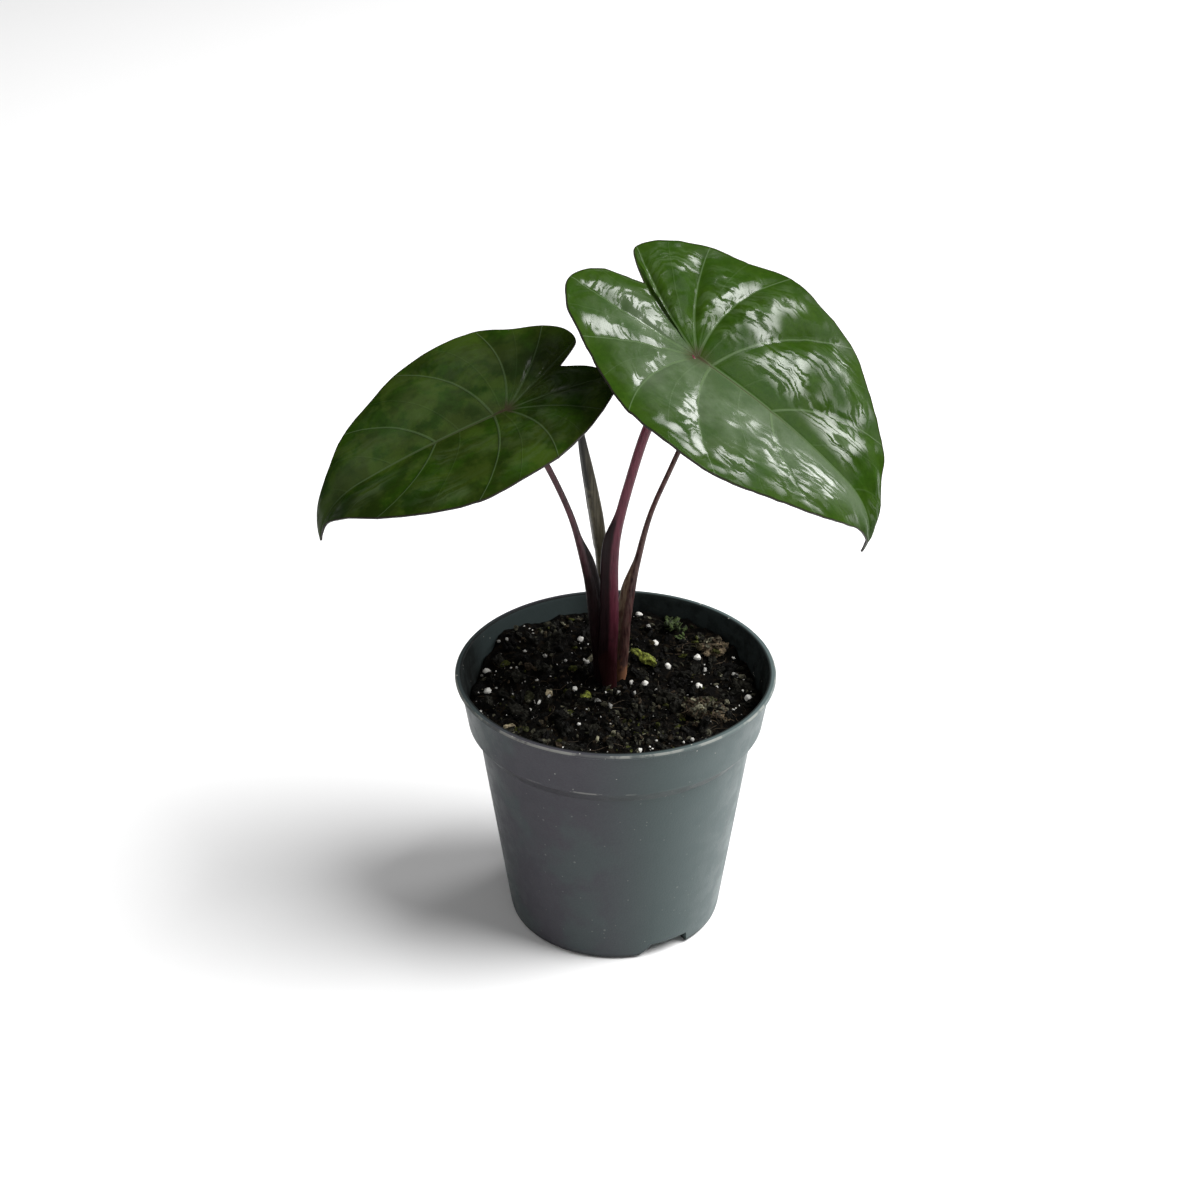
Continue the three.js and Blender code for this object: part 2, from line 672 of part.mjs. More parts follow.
const plant = new THREE.Group();
model.add(plant);
plant.add(piece('corm', cormGeometry(), COLOURS.corm, 0.9));
for (const [name, leaf] of Object.entries(LEAVES)) {
  plant.add(placeBlade(piece(`blade_${name}`, bladeGeometry(leaf), leaf.colour, 0.35), leaf));
}
for (const [name, stalk] of Object.entries(STALKS)) {
  const leaf = LEAVES[name.replace('petiole_', '')];
  const room = placeBlade(new THREE.Mesh(bladeGeometry(leaf, GAP)), leaf);
  const roomGeometry = room.geometry.clone().applyMatrix4(room.matrixWorld);
  const stem = stalkGeometry(withHead(stalk, leaf));
  plant.add(piece(name, cut(stem, [roomGeometry]), stalk.colour, 0.5));
}
plant.add(piece('new_leaf', stalkGeometry(ROLLED_LEAF), ROLLED_LEAF.colour, 0.5));

const lumps = [...LUMPS];
PERLITE.forEach((at, i) => {
  const size = [PERLITE_RADIUS, PERLITE_RADIUS * 0.85, PERLITE_RADIUS * 0.8];
  lumps.push({ name: `perlite_${i + 1}`, at, size, turn: i * 47, colour: COLOURS.perlite });
});
const holes = [cormGeometry(GAP)];
for (const stalk of [...Object.values(STALKS), ROLLED_LEAF]) holes.push(stalkGeometry(stalk, GAP));
lumps.forEach((lump, i) => {
  model.add(piece(lump.name, lumpGeometry(lump, SEED + i, 0), lump.colour, 0.9));
  holes.push(lumpGeometry(lump, SEED + i, GAP));
});
model.add(piece('soil', soilGeometry(holes), COLOURS.soil, 0.95));

export default model;
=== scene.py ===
import math
import random

import bmesh
import bpy
import numpy as np
from bpy.props import FloatProperty, FloatVectorProperty, IntProperty, PointerProperty
from mathutils import Euler, Matrix, Vector, noise
from mathutils.bvhtree import BVHTree


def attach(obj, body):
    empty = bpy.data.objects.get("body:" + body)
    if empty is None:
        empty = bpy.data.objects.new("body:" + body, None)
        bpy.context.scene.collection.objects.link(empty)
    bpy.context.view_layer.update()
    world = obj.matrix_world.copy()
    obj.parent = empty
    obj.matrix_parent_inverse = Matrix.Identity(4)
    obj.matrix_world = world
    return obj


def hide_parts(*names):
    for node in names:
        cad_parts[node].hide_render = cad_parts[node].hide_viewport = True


bl_info = {
    "name": "Potted Alocasia",
    "version": (1, 0, 0),
    "blender": (4, 5, 0),
    "location": "3D View > Sidebar > Alocasia",
    "description": "Dresses a young potted alocasia around its solids",
    "category": "Add Mesh",
}

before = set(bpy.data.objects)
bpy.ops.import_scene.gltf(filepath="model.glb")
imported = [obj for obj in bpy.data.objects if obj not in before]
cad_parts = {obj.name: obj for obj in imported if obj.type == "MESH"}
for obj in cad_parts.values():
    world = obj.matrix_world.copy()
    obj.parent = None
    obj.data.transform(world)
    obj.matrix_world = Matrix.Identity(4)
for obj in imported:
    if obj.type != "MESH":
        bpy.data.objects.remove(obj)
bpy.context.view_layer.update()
MM = 0.001

# Pot, in millimetres: the outline from the underside's middle, out, up, over the lip and back down
POT_OUTLINE = [
    (0, 0), (16, 0), (17.5, 3.4), (30.8, 3.4), (31.7, 0), (34.25, 0), (35.4, 0.9), (35.85, 3.0),
    (45.2, 70.1), (48.5, 74.5), (51.0, 90.2), (52.35, 90.4), (52.5, 91.0), (52.1, 91.7), (50.3, 91.7),
    (49.9, 90.5), (47.4, 75.0), (44.1, 70.6), (34.75, 4.5), (16.6, 4.5), (15.1, 1.1), (0, 1.1),
]
POT_STEPS = 180
RING_ANGLE = 12
CREASE_ANGLE = 35
# How fast the wall widens upwards, and the radius of its middle at the table, in metres
WALL_SLOPE = 0.159
WALL_MIDDLE = 0.03595
NOTCH_TURNS = (30, 150, 270)
# Cuts into the foot: radius they reach, lower and upper height, and by how much they are wider
NOTCH_CUT = (29.4, -0.6, 3.15, 0.0)
RECESS_CUT = (33.4, 2.0, 5.0, 0.07)
# Sides of a cut: where each stands at the table, and how far it moves per millimetre of height
NOTCH_RIGHT = (7.7, -0.17)
NOTCH_LEFT = (-11.3, 0.95)
NOTCH_OUTSIDE = 38.5
DRAIN_RADIUS = 3.6
DRAIN_RING = 24.4
DRAIN_LEVEL = 4.0
DRAIN_DEPTH = 4
DRAIN_SIDES = 40
DRAIN_TURNS = (30, 90, 150, 210, 270, 330)

# Potting mix
SOIL_TOP = 80.0
SOIL_RIM = 47.0
BANK_HEIGHT = 5.5
MOUNDS = [((-37, 31), 3.6, 5.5), ((31, -14), 1.4, 6)]
# The mix reaches out this far where its level is this high, and widens with the wall
SOIL_REACH = 47.3
SOIL_REACH_LEVEL = 78
WALL_REACH = 48.5
SOIL_RINGS = 62
SOIL_STEPS = 200
SOIL_WALL = [(46.9, 75.3), (43.6, 70.9), (34.35, 4.8), (16.3, 4.8), (14.6, 1.4), (0, 1.4)]

# A blade lies in flat coordinates first: x from the stalk end towards the tip, y to the leaf's left.
# Roots are where the veins leave the midrib. Each half lists where its veins meet the margin.
RIGHT_ROOTS = [88, 77, 63, 44, 28, 16.5, 5, 2]
RIGHT_HALVES = {
    1: [
        (88, 0), (80.5, 2.4), (73, 6.8), (67, 11.5), (60.5, 18.5), (46, 30.3), (34.5, 38.5), (18.5, 43.4),
        (6, 45.4), (-8, 41.9), (-21, 38.1), (-32.5, 30), (-38.6, 21), (-34.7, 15.8), (-28.2, 11.2),
    ],
    -1: [
        (88, 0), (80.5, -2.4), (73, -7), (67, -14), (58, -24), (43.6, -33.8), (29, -41.6), (13.5, -44.2),
        (-1.8, -42.2), (-16, -34.2), (-29.5, -25.8), (-40.5, -18), (-46, -7), (-41.5, 4.5), (-28.2, 11.2),
    ],
}
LEFT_ROOTS = [75.5, 66, 55, 38.5, 23.5, 15.5, 4, 1.5]
LEFT_HALVES = {
    1: [
        (75.5, 0), (70.5, 1.4), (65, 3.8), (58, 10.8), (48.5, 21.3), (34, 30.2), (18.5, 35.4), (5.5, 35.2),
        (-8, 32.2), (-18, 26), (-26.5, 19), (-32.5, 12), (-34.2, 4), (-30, -3.4), (-21, -8.2),
    ],
    -1: [
        (75.5, 0), (70.5, -3.7), (65, -7.3), (57, -12.3), (48.6, -19.9), (38.2, -26.5), (27.2, -33.1),
        (13, -36.1), (-1.5, -35.6), (-12.5, -30.9), (-21.5, -27), (-27.5, -21.8), (-29.2, -16.5),
        (-25.8, -12.4), (-21, -8.2),
    ],
}
BACK_SCALE = 0.46
LAST_STATION = 14
VEIN_BOW = 0.22
BOW_FADE = 6
MAIN_STATIONS = (4, 6, 8, 10, 12)
THIN_STATIONS = (1, 2, 3, 5, 7, 9, 11, 13)
# What the corners of a blade carry for its material: places by the lines, and the fine ridges
BLADE_PLACES = ("spine", "main", "thin", "edge", "heart")
FEATHER = ("feather", "feather_turns")
STATION_STEPS = 8
SHARE_STEPS = 56

# Angles are in degrees: heading, droop of the tip, roll about the midrib, and the rise of each half.
# The bends are in radians per millimetre, and quilt, wave and bumps are heights in millimetres.
BLADES = {
    "left": {
        "junction": (-34.0, -2.0, 185.4), "heading": 194.3, "droop": 18.4, "roll": -14.5, "rise": 11.8,
        "side_bend": 0.0061, "arch_bend": 0.0036, "lobe_bend": 0.0004, "tip_bend": 0.038,
        "tip_start": 50.1, "quilt": 1.4, "wave": 0.35, "bumps": 0.14,
        "roots": LEFT_ROOTS, "halves": LEFT_HALVES, "finish": "dark",
    },
    "right": {
        "junction": (24.8, 6.0, 199.5), "heading": -27.5, "droop": 23.5, "roll": 12.0, "rise": 11.1,
        "side_bend": 0.0014, "arch_bend": 0.0053, "lobe_bend": -0.0054, "tip_bend": 0.0426,
        "tip_start": 59.6, "quilt": 2.1, "wave": 0.4, "bumps": 0.4,
        "roots": RIGHT_ROOTS, "halves": RIGHT_HALVES, "finish": "green",
    },
    "back": {
        "junction": (29.4, 27.9, 175.7), "heading": 4, "droop": 30, "roll": 2, "rise": 14,
        "side_bend": 0.01, "arch_bend": 0.009, "lobe_bend": -0.002, "tip_bend": 0.05,
        "tip_start": 28, "quilt": 0.5, "wave": 0.3, "bumps": 0.1,
        "roots": [root * BACK_SCALE for root in RIGHT_ROOTS],
        "halves": {
            side: [(x * BACK_SCALE, -y * BACK_SCALE) for x, y in RIGHT_HALVES[-side]] for side in (1, -1)
        },
        "finish": "green",
    },
}
# Looks of the upper faces: tone of the veins, roughness, share of the main and the thin veins,
# wax, patches and ridges
# the wax also sets the strength of the painted sheen, and the ridges carry a painted highlight
BLADE_LOOKS = {
    "dark": (0.7, 0.42, (0.6, 0.1), 0.42, 0.75, 0.7),
    "green": (1.0, 0.33, (0.55, 0.12), 1.0, 0.15, 1.0),
}
HEART_BROWN = (0.03, 0.02, 0.012)
UNDER_WINE = (0.06, 0.02, 0.024)
WORN_GREEN = (0.03, 0.052, 0.006)
AGED_GREEN = (0.012, 0.015, 0.003)
# colour of the pale painted sheen on the front halves of the blades
PAINTED_SHEEN = (0.12, 0.15, 0.105)
BLADE_BUMP = 0.00016
# Grooves along the veins on the upper face, and the sheet's upper face over its middle
VEIN_GROOVE = 0.16
SPINE_GROOVE = 0.4
UPPER_FACE = 0.2

# Stalks, from the corm up. Each row is a point of the centre line, then the radius there.
# The sheath is the wing along one side: its direction, height, and where it starts and ends.
STALKS = {
    "left": {
        "line": [
            (-4.2, 13, 66.5, 2.7), (-4.5, 12.6, 79, 2.6), (-5.2, 11.1, 90, 2.4), (-6.6, 9.1, 104.7, 2.2),
            (-8, 7.4, 117, 1.8), (-10, 5.9, 127.7, 1.4), (-14.3, 3.4, 146, 1.05), (-21.3, 0.8, 164.5, 1.0),
            (-27.3, -0.7, 175.8, 1.1),
        ],
        "sheath": {"turn": 35, "height": 2.0, "from": 84, "to": 140}, "slot": "stalk_dark",
    },
    "right": {
        "line": [
            (-1.7, 7.2, 66.5, 2.4), (-1.8, 7.4, 80, 2.3), (-1.5, 7.3, 92.4, 2.1), (-1, 7.2, 105.8, 2.0),
            (-1, 7, 117, 1.95), (-0.9, 6.9, 128.3, 1.9), (0.3, 6.8, 139.2, 1.75), (4.1, 6.5, 155.8, 1.6),
            (9.6, 6.3, 175.1, 1.6), (15.9, 6.1, 187.8, 1.6),
        ],
        "sheath": {"turn": 185, "height": 2.0, "from": 84, "to": 147}, "slot": "stalk_red",
    },
    "back": {
        "line": [
            (2.3, 13, 66.5, 2.1), (1.9, 13.5, 80.9, 2.0), (2.6, 14.3, 90.1, 1.9), (3.5, 15.5, 101, 1.7),
            (5.1, 16.9, 111.5, 1.5), (7, 18.3, 121, 1.2), (11.2, 20.9, 137.2, 0.9),
            (17.5, 23.5, 152.2, 0.85), (23.8, 26.1, 166, 0.9),
        ],
        "sheath": {"turn": 170, "height": 1.8, "from": 86, "to": 124}, "slot": "stalk_brown",
    },
}
ROLLED_LEAF = {
    "line": [
        (-2.6, 17.6, 66.5, 1.2), (-3.1, 16.9, 81.6, 1.2), (-4.1, 16, 93, 1.2), (-4.4, 14.7, 109, 1.5),
        (-4.6, 13.5, 124.6, 1.9), (-5.3, 12.9, 132.3, 2.1), (-6.4, 12.2, 141.4, 2.2),
        (-7.8, 11.5, 150.8, 2.0), (-9.3, 10.8, 160, 1.7), (-10.7, 10, 169.5, 1.25), (-11.9, 9.2, 180.3, 0.35),
    ],
    "sheath": {"turn": 330, "height": 0.5, "from": 120, "to": 172},
}
STALK_SIDES = 36
STALK_STEP = 1.4
SEAM_STEP = 0.16
# A stalk ends this far under its blade's junction, and swells there
STALK_END_DEPTH = 0.35
STALK_END_SWELL = 1.1

# Lumps lying on the mix: node, place, half sizes, turn in degrees, finish, roughness of the form
LUMPS = [
    ("bark_back", (33.4, 27.0), (4.6, 3.4, 2.6), 20, "bark", 0.6),
    ("bark_front", (29.2, -11.2), (7.0, 4.3, 2.6), -15, "bark", 0.6),
    ("bark_chip", (-34.6, -16.9), (2.3, 1.7, 1.2), 40, "chip", 0.35),
    ("pebble_tan", (-22.6, 2.3), (1.8, 1.5, 1.4), 0, "chip", 0.25),
    ("pebble_olive", (-9.6, 0.9), (2.0, 1.8, 1.6), 30, "moss", 0.4),
    ("moss", (9.8, 21.9), (6.2, 1.8, 1.5), -50, "moss", 0.5),
]
TUFT_LEAVES = 46
TUFT_PLACE = (20.6, 36.6)
PLAIN = (1, 1, 1)
PERLITE_RADIUS = 1.25
PERLITE = [
    (-11.4, 31.0), (13.6, 29.8), (17.6, 17.2), (-43.0, 15.8), (-42.1, 2.4),
    (9.7, 7.3), (27.5, 7.2), (27.7, 22.1), (-25.6, -2.9), (43.6, -0.7),
]
# Smaller grains: place, radius, and how soiled each one is
PERLITE_SPECKS = [
    (8.3, 44.8, 1.0, 0.1), (-13.3, 1.9, 0.9, 0.0), (5.4, 10.4, 0.8, 0.1), (10.4, 15.2, 0.9, 0.4),
    (12.4, 14.4, 0.7, 0.5), (-1.8, -6.3, 0.9, 0.55), (-5.9, -3.6, 0.9, 0.6), (1.1, 0.8, 0.8, 0.5),
    (30.0, 15.9, 0.9, 0.45), (39.9, 12.1, 1.0, 0.6), (7.4, -30.6, 0.8, 0.1), (10.8, -29.2, 0.5, 0.1),
    (-11.9, -16.7, 0.6, 0.0), (-21.4, -20.5, 0.5, 0.0), (-14.6, -27.5, 0.5, 0.2), (11.6, 39.6, 0.9, 0.5),
    (-9.5, 18.6, 0.8, 0.5), (-10.4, 19.8, 0.5, 0.2), (-16.7, 20.8, 0.6, 0.4), (-30.4, 24.6, 0.6, 0.5),
    (-23.6, 22.6, 0.8, 0.5), (-36.5, 27.0, 0.6, 0.4), (-39.2, 26.4, 0.6, 0.5), (-31.0, 35.2, 0.5, 0.4),
    (-45.2, 3.1, 0.7, 0.3), (-44.3, -5.9, 0.6, 0.3), (-32.0, -11.3, 0.6, 0.3), (3.1, -5.9, 0.4, 0.0),
    (-3.2, 2.6, 0.5, 0.0), (-17.0, -28.3, 0.5, 0.1), (-13.8, -30.8, 0.5, 0.3), (12.9, -25.3, 0.5, 0.3),
    (24.4, -27.0, 0.7, 0.5), (21.6, -27.4, 0.5, 0.4), (38.4, -8.6, 0.6, 0.3), (42.0, 3.9, 0.5, 0.4),
    (19.6, -19.5, 0.6, 0.55), (-44.6, 14.0, 0.5, 0.6), (40.0, 22.4, 0.5, 0.4), (-22.0, 0.0, 1.0, 0.6),
    (-27.8, -5.4, 0.5, 0.2), (-39.5, 6.0, 0.4, 0.3), (6.3, 3.2, 0.6, 0.4), (13.4, 3.4, 0.5, 0.5),
    (21.5, 11.5, 0.5, 0.3), (33.6, 6.4, 0.6, 0.5), (-33.0, 17.0, 0.5, 0.5), (-26.0, 11.0, 0.5, 0.4),
]
FINE_PERLITE = 230
# Heaps of crumbs: centre, spread, number, and the darkest tone in them
HEAPS = [
    (-37, 31, 4.5, 70, 0.0), (-22, 39, 6, 90, 0.2), (-9, 43, 5, 50, 0.3), (29, -11.5, 6.5, 130, 0.79),
    (10, -8, 7, 60, 0.0), (-2, 4, 4, 50, 0.0), (33, 27, 4.5, 40, 0.79), (-33, -19, 3, 20, 0.6),
    (3, -22, 9, 90, 0.3), (18, -22, 7, 60, 0.3), (-18, -12, 6, 40, 0.4),
]
SHREDS = 90
STRAND_STEPS = 5
# How far out crumbs, heaps, clods, fibres and the ends of fibres may lie
CRUMB_REACH, HEAP_REACH, CLOD_REACH, FIBRE_REACH, STRAND_REACH = 46, 46.4, 44.5, 45, 46.5
# The round place that the stalks keep free
STALKS_X, STALKS_Y, STALKS_ROOM = -1.2, 12, 5
BATCH = 40
# A height over the mix, in metres, from which the ground is looked for
ABOVE_SOIL = 0.12
SEED = 7

# Stage, in metres: name, place and size of each light, and what they aim at
LIGHTS = [
    ("key", (1.43, -0.201, 2.04), 1.9), ("sheen", (0.868, 0.728, 0.648), 0.5),
    ("fill", (-0.3, -1.15, 1.15), 1.2),
]
MIDDLE = (0, 0, 0.12)
CAMERA_PLACE = (-0.00508, -0.6697, 0.4993)
CAMERA_TILT = 60.305
CAMERA_LENS = 72
CAMERA_SENSOR = 36


# Sizes and colours that can be changed in the sidebar

def length(name, description, millimetres, smallest, largest):
    return FloatProperty(
        name=name, description=description, default=millimetres * MM, min=smallest * MM,
        max=largest * MM, unit="LENGTH", precision=5)


def colour(name, description, value):
    return FloatVectorProperty(
        name=name, description=description, default=value, size=3, min=0, max=1, subtype="COLOR")


def factor(name, description, value):
    return FloatProperty(
        name=name, description=description, default=value, min=0, max=1, subtype="FACTOR")


def count(name, description, value, largest):
    return IntProperty(name=name, description=description, default=value, min=0, max=largest)


def power(name, description, watts):
    return FloatProperty(name=name, description=description, default=watts, min=0, unit="POWER")


class PotSettings(bpy.types.PropertyGroup):
    plastic: colour("Plastic", "Colour of the moulded pot", (0.052, 0.07, 0.07))
    plum: colour("Plum Tint", "Colour of the pot's warmer patches", (0.041, 0.038, 0.047))
    # this colour paints the peat stain, and also painted shade on the shoulder, at the foot and on the inner
    # wall
    stain_and_shade: colour("Stain", "Colour of the peat left on the inner wall", (0.003, 0.0036, 0.003))
    # this colour paints the dust specks, and also the painted highlights on the lip and the collar line
    dust_and_highlight: colour("Dust", "Colour of the dry dust and crumbs on the wall", (0.33, 0.33, 0.3))
    edge_round: length("Edge Round", "Rounding of the pot's moulded edges", 0.22, 0.05, 0.4)


class SoilSettings(bpy.types.PropertyGroup):
    peat: colour("Peat", "Colour of the moist peat", (0.0018, 0.0016, 0.0012))
    fibre: colour("Fibre", "Colour of the bark and root fibres in the mix", (0.034, 0.024, 0.014))
    ash: colour("Ash", "Colour of the weathered crumbs", (0.1, 0.096, 0.066))
    perlite: colour("Perlite", "Colour of the perlite grains", (0.8, 0.79, 0.74))
    moss: colour("Moss", "Colour of the moss", (0.4, 0.46, 0.07))
    lump_height: length("Lump Height", "Height of the small lumps of the surface", 2.7, 0.2, 3.5)
    crumb_count: count("Crumbs", "Number of loose crumbs on the mix", 1300, 3000)
    clod_count: count("Clods", "Number of larger clods in the mix", 110, 300)
    fibre_count: count("Fibres", "Number of loose fibres on the mix", 150, 400)


class BladeSettings(bpy.types.PropertyGroup):
    thickness: length("Thickness", "Thickness of a blade between its veins", 0.6, 0.4, 0.8)
    main_width: length("Main Vein Width", "Half width of a main vein at its root", 0.55, 0.2, 1.0)
    rib_depth: length("Rib Depth", "Depth of the main veins under a blade", 0.5, 0.1, 0.8)
    feather_height: length("Feather Height", "Height of the fine ridges between the veins", 0.1, 0.0, 0.2)
    dark: colour("Dark Green", "Colour of the older, darker blade", (0.0085, 0.024, 0.0015))
    green: colour("Green", "Colour of the fresh green blades", (0.0145, 0.04, 0.003))
    pale: colour("Vein Green", "Colour of the veins", (0.075, 0.115, 0.05))
    margin: colour("Margin", "Colour of the blades' thin edge", (0.02, 0.016, 0.012))


class StalkSettings(bpy.types.PropertyGroup):
    wine: colour("Wine Red", "Colour of the lighter stalk", (0.11, 0.015, 0.033))
    dark: colour("Dark Red", "Colour of the darker stalks", (0.035, 0.009, 0.012))
    sheath: colour("Sheath", "Colour of the dark wings on the stalks", (0.004, 0.0018, 0.002))
    paper: colour("Papery Sheath", "Colour of the dry sheath at the back", (0.3, 0.22, 0.15))
    olive: colour("Rolled Leaf", "Colour of the rolled new leaf", (0.065, 0.056, 0.03))


class StageSettings(bpy.types.PropertyGroup):
    floor: colour("Floor", "Colour of the plain floor", (0.86, 0.86, 0.86))
    key: power("Key Light", "Strength of the main light", 122)
    sheen: power("Sheen Light", "Strength of the back light", 5.5)
    fill: power("Fill Light", "Strength of the front light", 4.6)
    sky: factor("Sky", "Strength of the light from all around", 0.16)


# Node trees

NODE_WIDTH = 200
NODE_HEIGHT = 180


def shade(colour, factor):
    return tuple(v * factor for v in colour)


class Nodes:
    """A node tree being drawn up. Each node stands one column to the right of what feeds it."""

    def __init__(self, tree):
        self.tree = tree

    def add(self, kind, inputs=None, **settings):
        """A node with its settings, and its inputs set to values or joined to sockets."""
        made = self.tree.nodes.new(kind)
        for name, value in settings.items():
            setattr(made, name, value)
        column = 0
        for name, value in (inputs or {}).items():
            socket = made.inputs[name]
            if isinstance(value, bpy.types.NodeSocket):
                self.tree.links.new(value, socket)
                column = max(column, value.node.location.x + NODE_WIDTH)
            else:
                socket.default_value = (*value, 1) if socket.type == "RGBA" else value
        row = sum(other.location.x == column for other in self.tree.nodes)
        made.location = (column, -NODE_HEIGHT * row)
        return made

    def maths(self, operation, first, second):
        return self.add("ShaderNodeMath", {0: first, 1: second}, operation=operation).outputs[0]

    def plus(self, first, second):
        return self.maths("ADD", first, second)

    def times(self, first, *factors):
        for factor in factors:
            first = self.maths("MULTIPLY", first, factor)
        return first

    def opposite(self, value):
        return self.maths("SUBTRACT", 1.0, value)

    def ranged(self, value, low, high, to_low=0.0, to_high=1.0):
        inputs = {"Value": value, "From Min": low, "From Max": high, "To Min": to_low, "To Max": to_high}
        return self.add("ShaderNodeMapRange", inputs, interpolation_type="SMOOTHSTEP").outputs[0]

    def band(self, value, start, full, last, end):
        """A value that rises from start to full, and falls again from last to end."""
        return self.times(self.ranged(value, start, full), self.ranged(value, last, end, 1.0, 0.0))

    def mix(self, share, first, second, blend="MIX"):
        inputs = {0: share, 6: first, 7: second}
        return self.add("ShaderNodeMix", inputs, data_type="RGBA", blend_type=blend).outputs[2]

    def layers(self, tone, *layers):
        """Colours laid over a tone, each by its share."""
        for share, colour in layers:
            tone = self.mix(share, tone, colour)
        return tone

    def parts(self, vector):
        return self.add("ShaderNodeSeparateXYZ", {"Vector": vector}).outputs

    def attribute(self, name):
        return self.add("ShaderNodeAttribute", attribute_name=name).outputs["Fac"]

    def mapped(self, vector, **values):
        """A vector turned and stretched."""
        inputs = {"Vector": vector, **{name.title(): value for name, value in values.items()}}
        return self.add("ShaderNodeMapping", inputs).outputs[0]

    def group(self, name, *values):
        """A node group, given its inputs in their order."""
        inputs = dict(enumerate(values))
        return self.add("ShaderNodeGroup", inputs, node_tree=bpy.data.node_groups[name]).outputs

    def mottle(self, at, scale, detail, contrast):
        return self.group("Mottle", at, scale, detail, contrast)[0]

    def specks(self, at, scale, size, share):
        return self.group("Specks", at, scale, size, share)[0]


class Group(Nodes):
    """A node group being drawn up. Each input has its name and value, or None for a vector."""

    def __init__(self, name, inputs):
        super().__init__(bpy.data.node_groups.new(name, "ShaderNodeTree"))
        for label, value in inputs.items():
            kind = "Vector" if value is None else "Color" if isinstance(value, tuple) else "Float"
            socket = self.tree.interface.new_socket(
                name=label, in_out="INPUT", socket_type="NodeSocket" + kind)
            if value is not None:
                socket.default_value = (*value, 1) if kind == "Color" else value
        self.given = self.add("NodeGroupInput").outputs

    def give(self, outputs):
        for label in outputs:
            kind = "Color" if label == "Color" else "Float"
            self.tree.interface.new_socket(
                name=label, in_out="OUTPUT", socket_type="NodeSocket" + kind)
        self.add("NodeGroupOutput", outputs)


class Skin(Nodes):
    """A material being drawn up, with its Principled shader and its Object coordinates."""

    def __init__(self, name, roughness, specular, coat_roughness=0.03):
        self.material = bpy.data.materials.new(name)
        self.material.use_nodes = True
        super().__init__(self.material.node_tree)
        self.shader = self.tree.nodes["Principled BSDF"]
        self.shader.inputs["Roughness"].default_value = roughness
        self.shader.inputs["Specular IOR Level"].default_value = specular
        self.shader.inputs["Coat Roughness"].default_value = coat_roughness
        self.at = self.add("ShaderNodeTexCoord").outputs["Object"]

    def finish(self, colour, roughness=None, coat=None, bump=None):
        """Joins what changes over the surface to the shader. A bump is height, depth and strength."""
        joined = {"Base Color": colour, "Roughness": roughness, "Coat Weight": coat}
        if bump:
            inputs = dict(zip(("Height", "Distance", "Strength"), bump))
            joined["Normal"] = self.add("ShaderNodeBump", inputs).outputs[0]
        for label, socket in joined.items():
            if socket is not None:
                self.tree.links.new(socket, self.shader.inputs[label])
        right = max(made.location.x for made in self.tree.nodes)
        self.shader.location = (right + NODE_WIDTH, 0)
        self.tree.nodes["Material Output"].location = (right + 3 * NODE_WIDTH, 0)
        return self.material


def mottle_group():
    """Soft patches: noise stretched to a contrast."""
    group = Group("Mottle", {"Vector": None, "Scale": 100.0, "Detail": 4.0, "Contrast": 0.2})
    given = group.given
    inputs = {name: given[name] for name in ("Vector", "Scale", "Detail")}
    field = group.add("ShaderNodeTexNoise", {**inputs, "Roughness": 0.6}).outputs["Fac"]
    low = group.maths("SUBTRACT", 0.5, given["Contrast"])
    high = group.plus(0.5, given["Contrast"])
    group.give({"Factor": group.ranged(field, low, high)})


def specks_group():
    """Scattered round specks, of which a share is kept."""
    group = Group("Specks", {"Vector": None, "Scale": 300.0, "Size": 0.2, "Share": 0.3})
    given = group.given
    cells = group.add("ShaderNodeTexVoronoi", {name: given[name] for name in ("Vector", "Scale")}).outputs
    dot = group.ranged(cells["Distance"], group.times(given["Size"], 0.6), given["Size"], 1.0, 0.0)
    chance = group.add("ShaderNodeSeparateColor", {"Color": cells["Color"]}).outputs[0]
    group.give({"Mask": group.times(dot, group.maths("LESS_THAN", chance, given["Share"]))})


def blade_group():
    """Colours of a blade: tissue, veins, stalk end and margin, and the height of the veins."""
    group = Group("Blade Face", {
        "Tissue": (0.05, 0.1, 0.03), "Vein": (0.2, 0.3, 0.15), "Margin": (0.03, 0.01, 0.01),
        "Heart": (0.06, 0.035, 0.02), "Vein Share": 0.8, "Thin Share": 0.4, "Spine Place": 9.0,
        "Main Place": 9.0, "Thin Place": 9.0, "Edge Place": 9.0, "Heart Place": 9.0})
    given = group.given
    spine = group.ranged(given["Spine Place"], 0.55, 1.15, 1.0, 0.0)
    main = group.ranged(given["Main Place"], 0.35, 1.3, 1.0, 0.0)
    thin = group.ranged(given["Thin Place"], 0.2, 1.6, 1.0, 0.0)
    big = group.maths("MAXIMUM", spine, main)
    big_share = group.times(big, given["Vein Share"])
    veins = group.maths("MAXIMUM", big_share, group.times(thin, given["Thin Share"]))
    away = group.ranged(given["Heart Place"], 20.0, 60.0, 1.0, 0.0)
    core = group.times(group.ranged(given["Spine Place"], 0.1, 0.45, 0.6, 0.0), away)
    heart = group.ranged(given["Heart Place"], 1.2, 7.0, 0.85, 0.0)
    heart = group.times(heart, group.plus(veins, 0.35))
    edge = group.ranged(given["Edge Place"], 0.12, 0.5, 0.75, 0.0)
    group.give({
        "Color": group.layers(
            given["Tissue"], (veins, given["Vein"]), (core, given["Heart"]), (heart, given["Heart"]),
            (edge, given["Margin"])),
        "Height": group.maths("MAXIMUM", big, group.times(thin, 0.4)),
    })


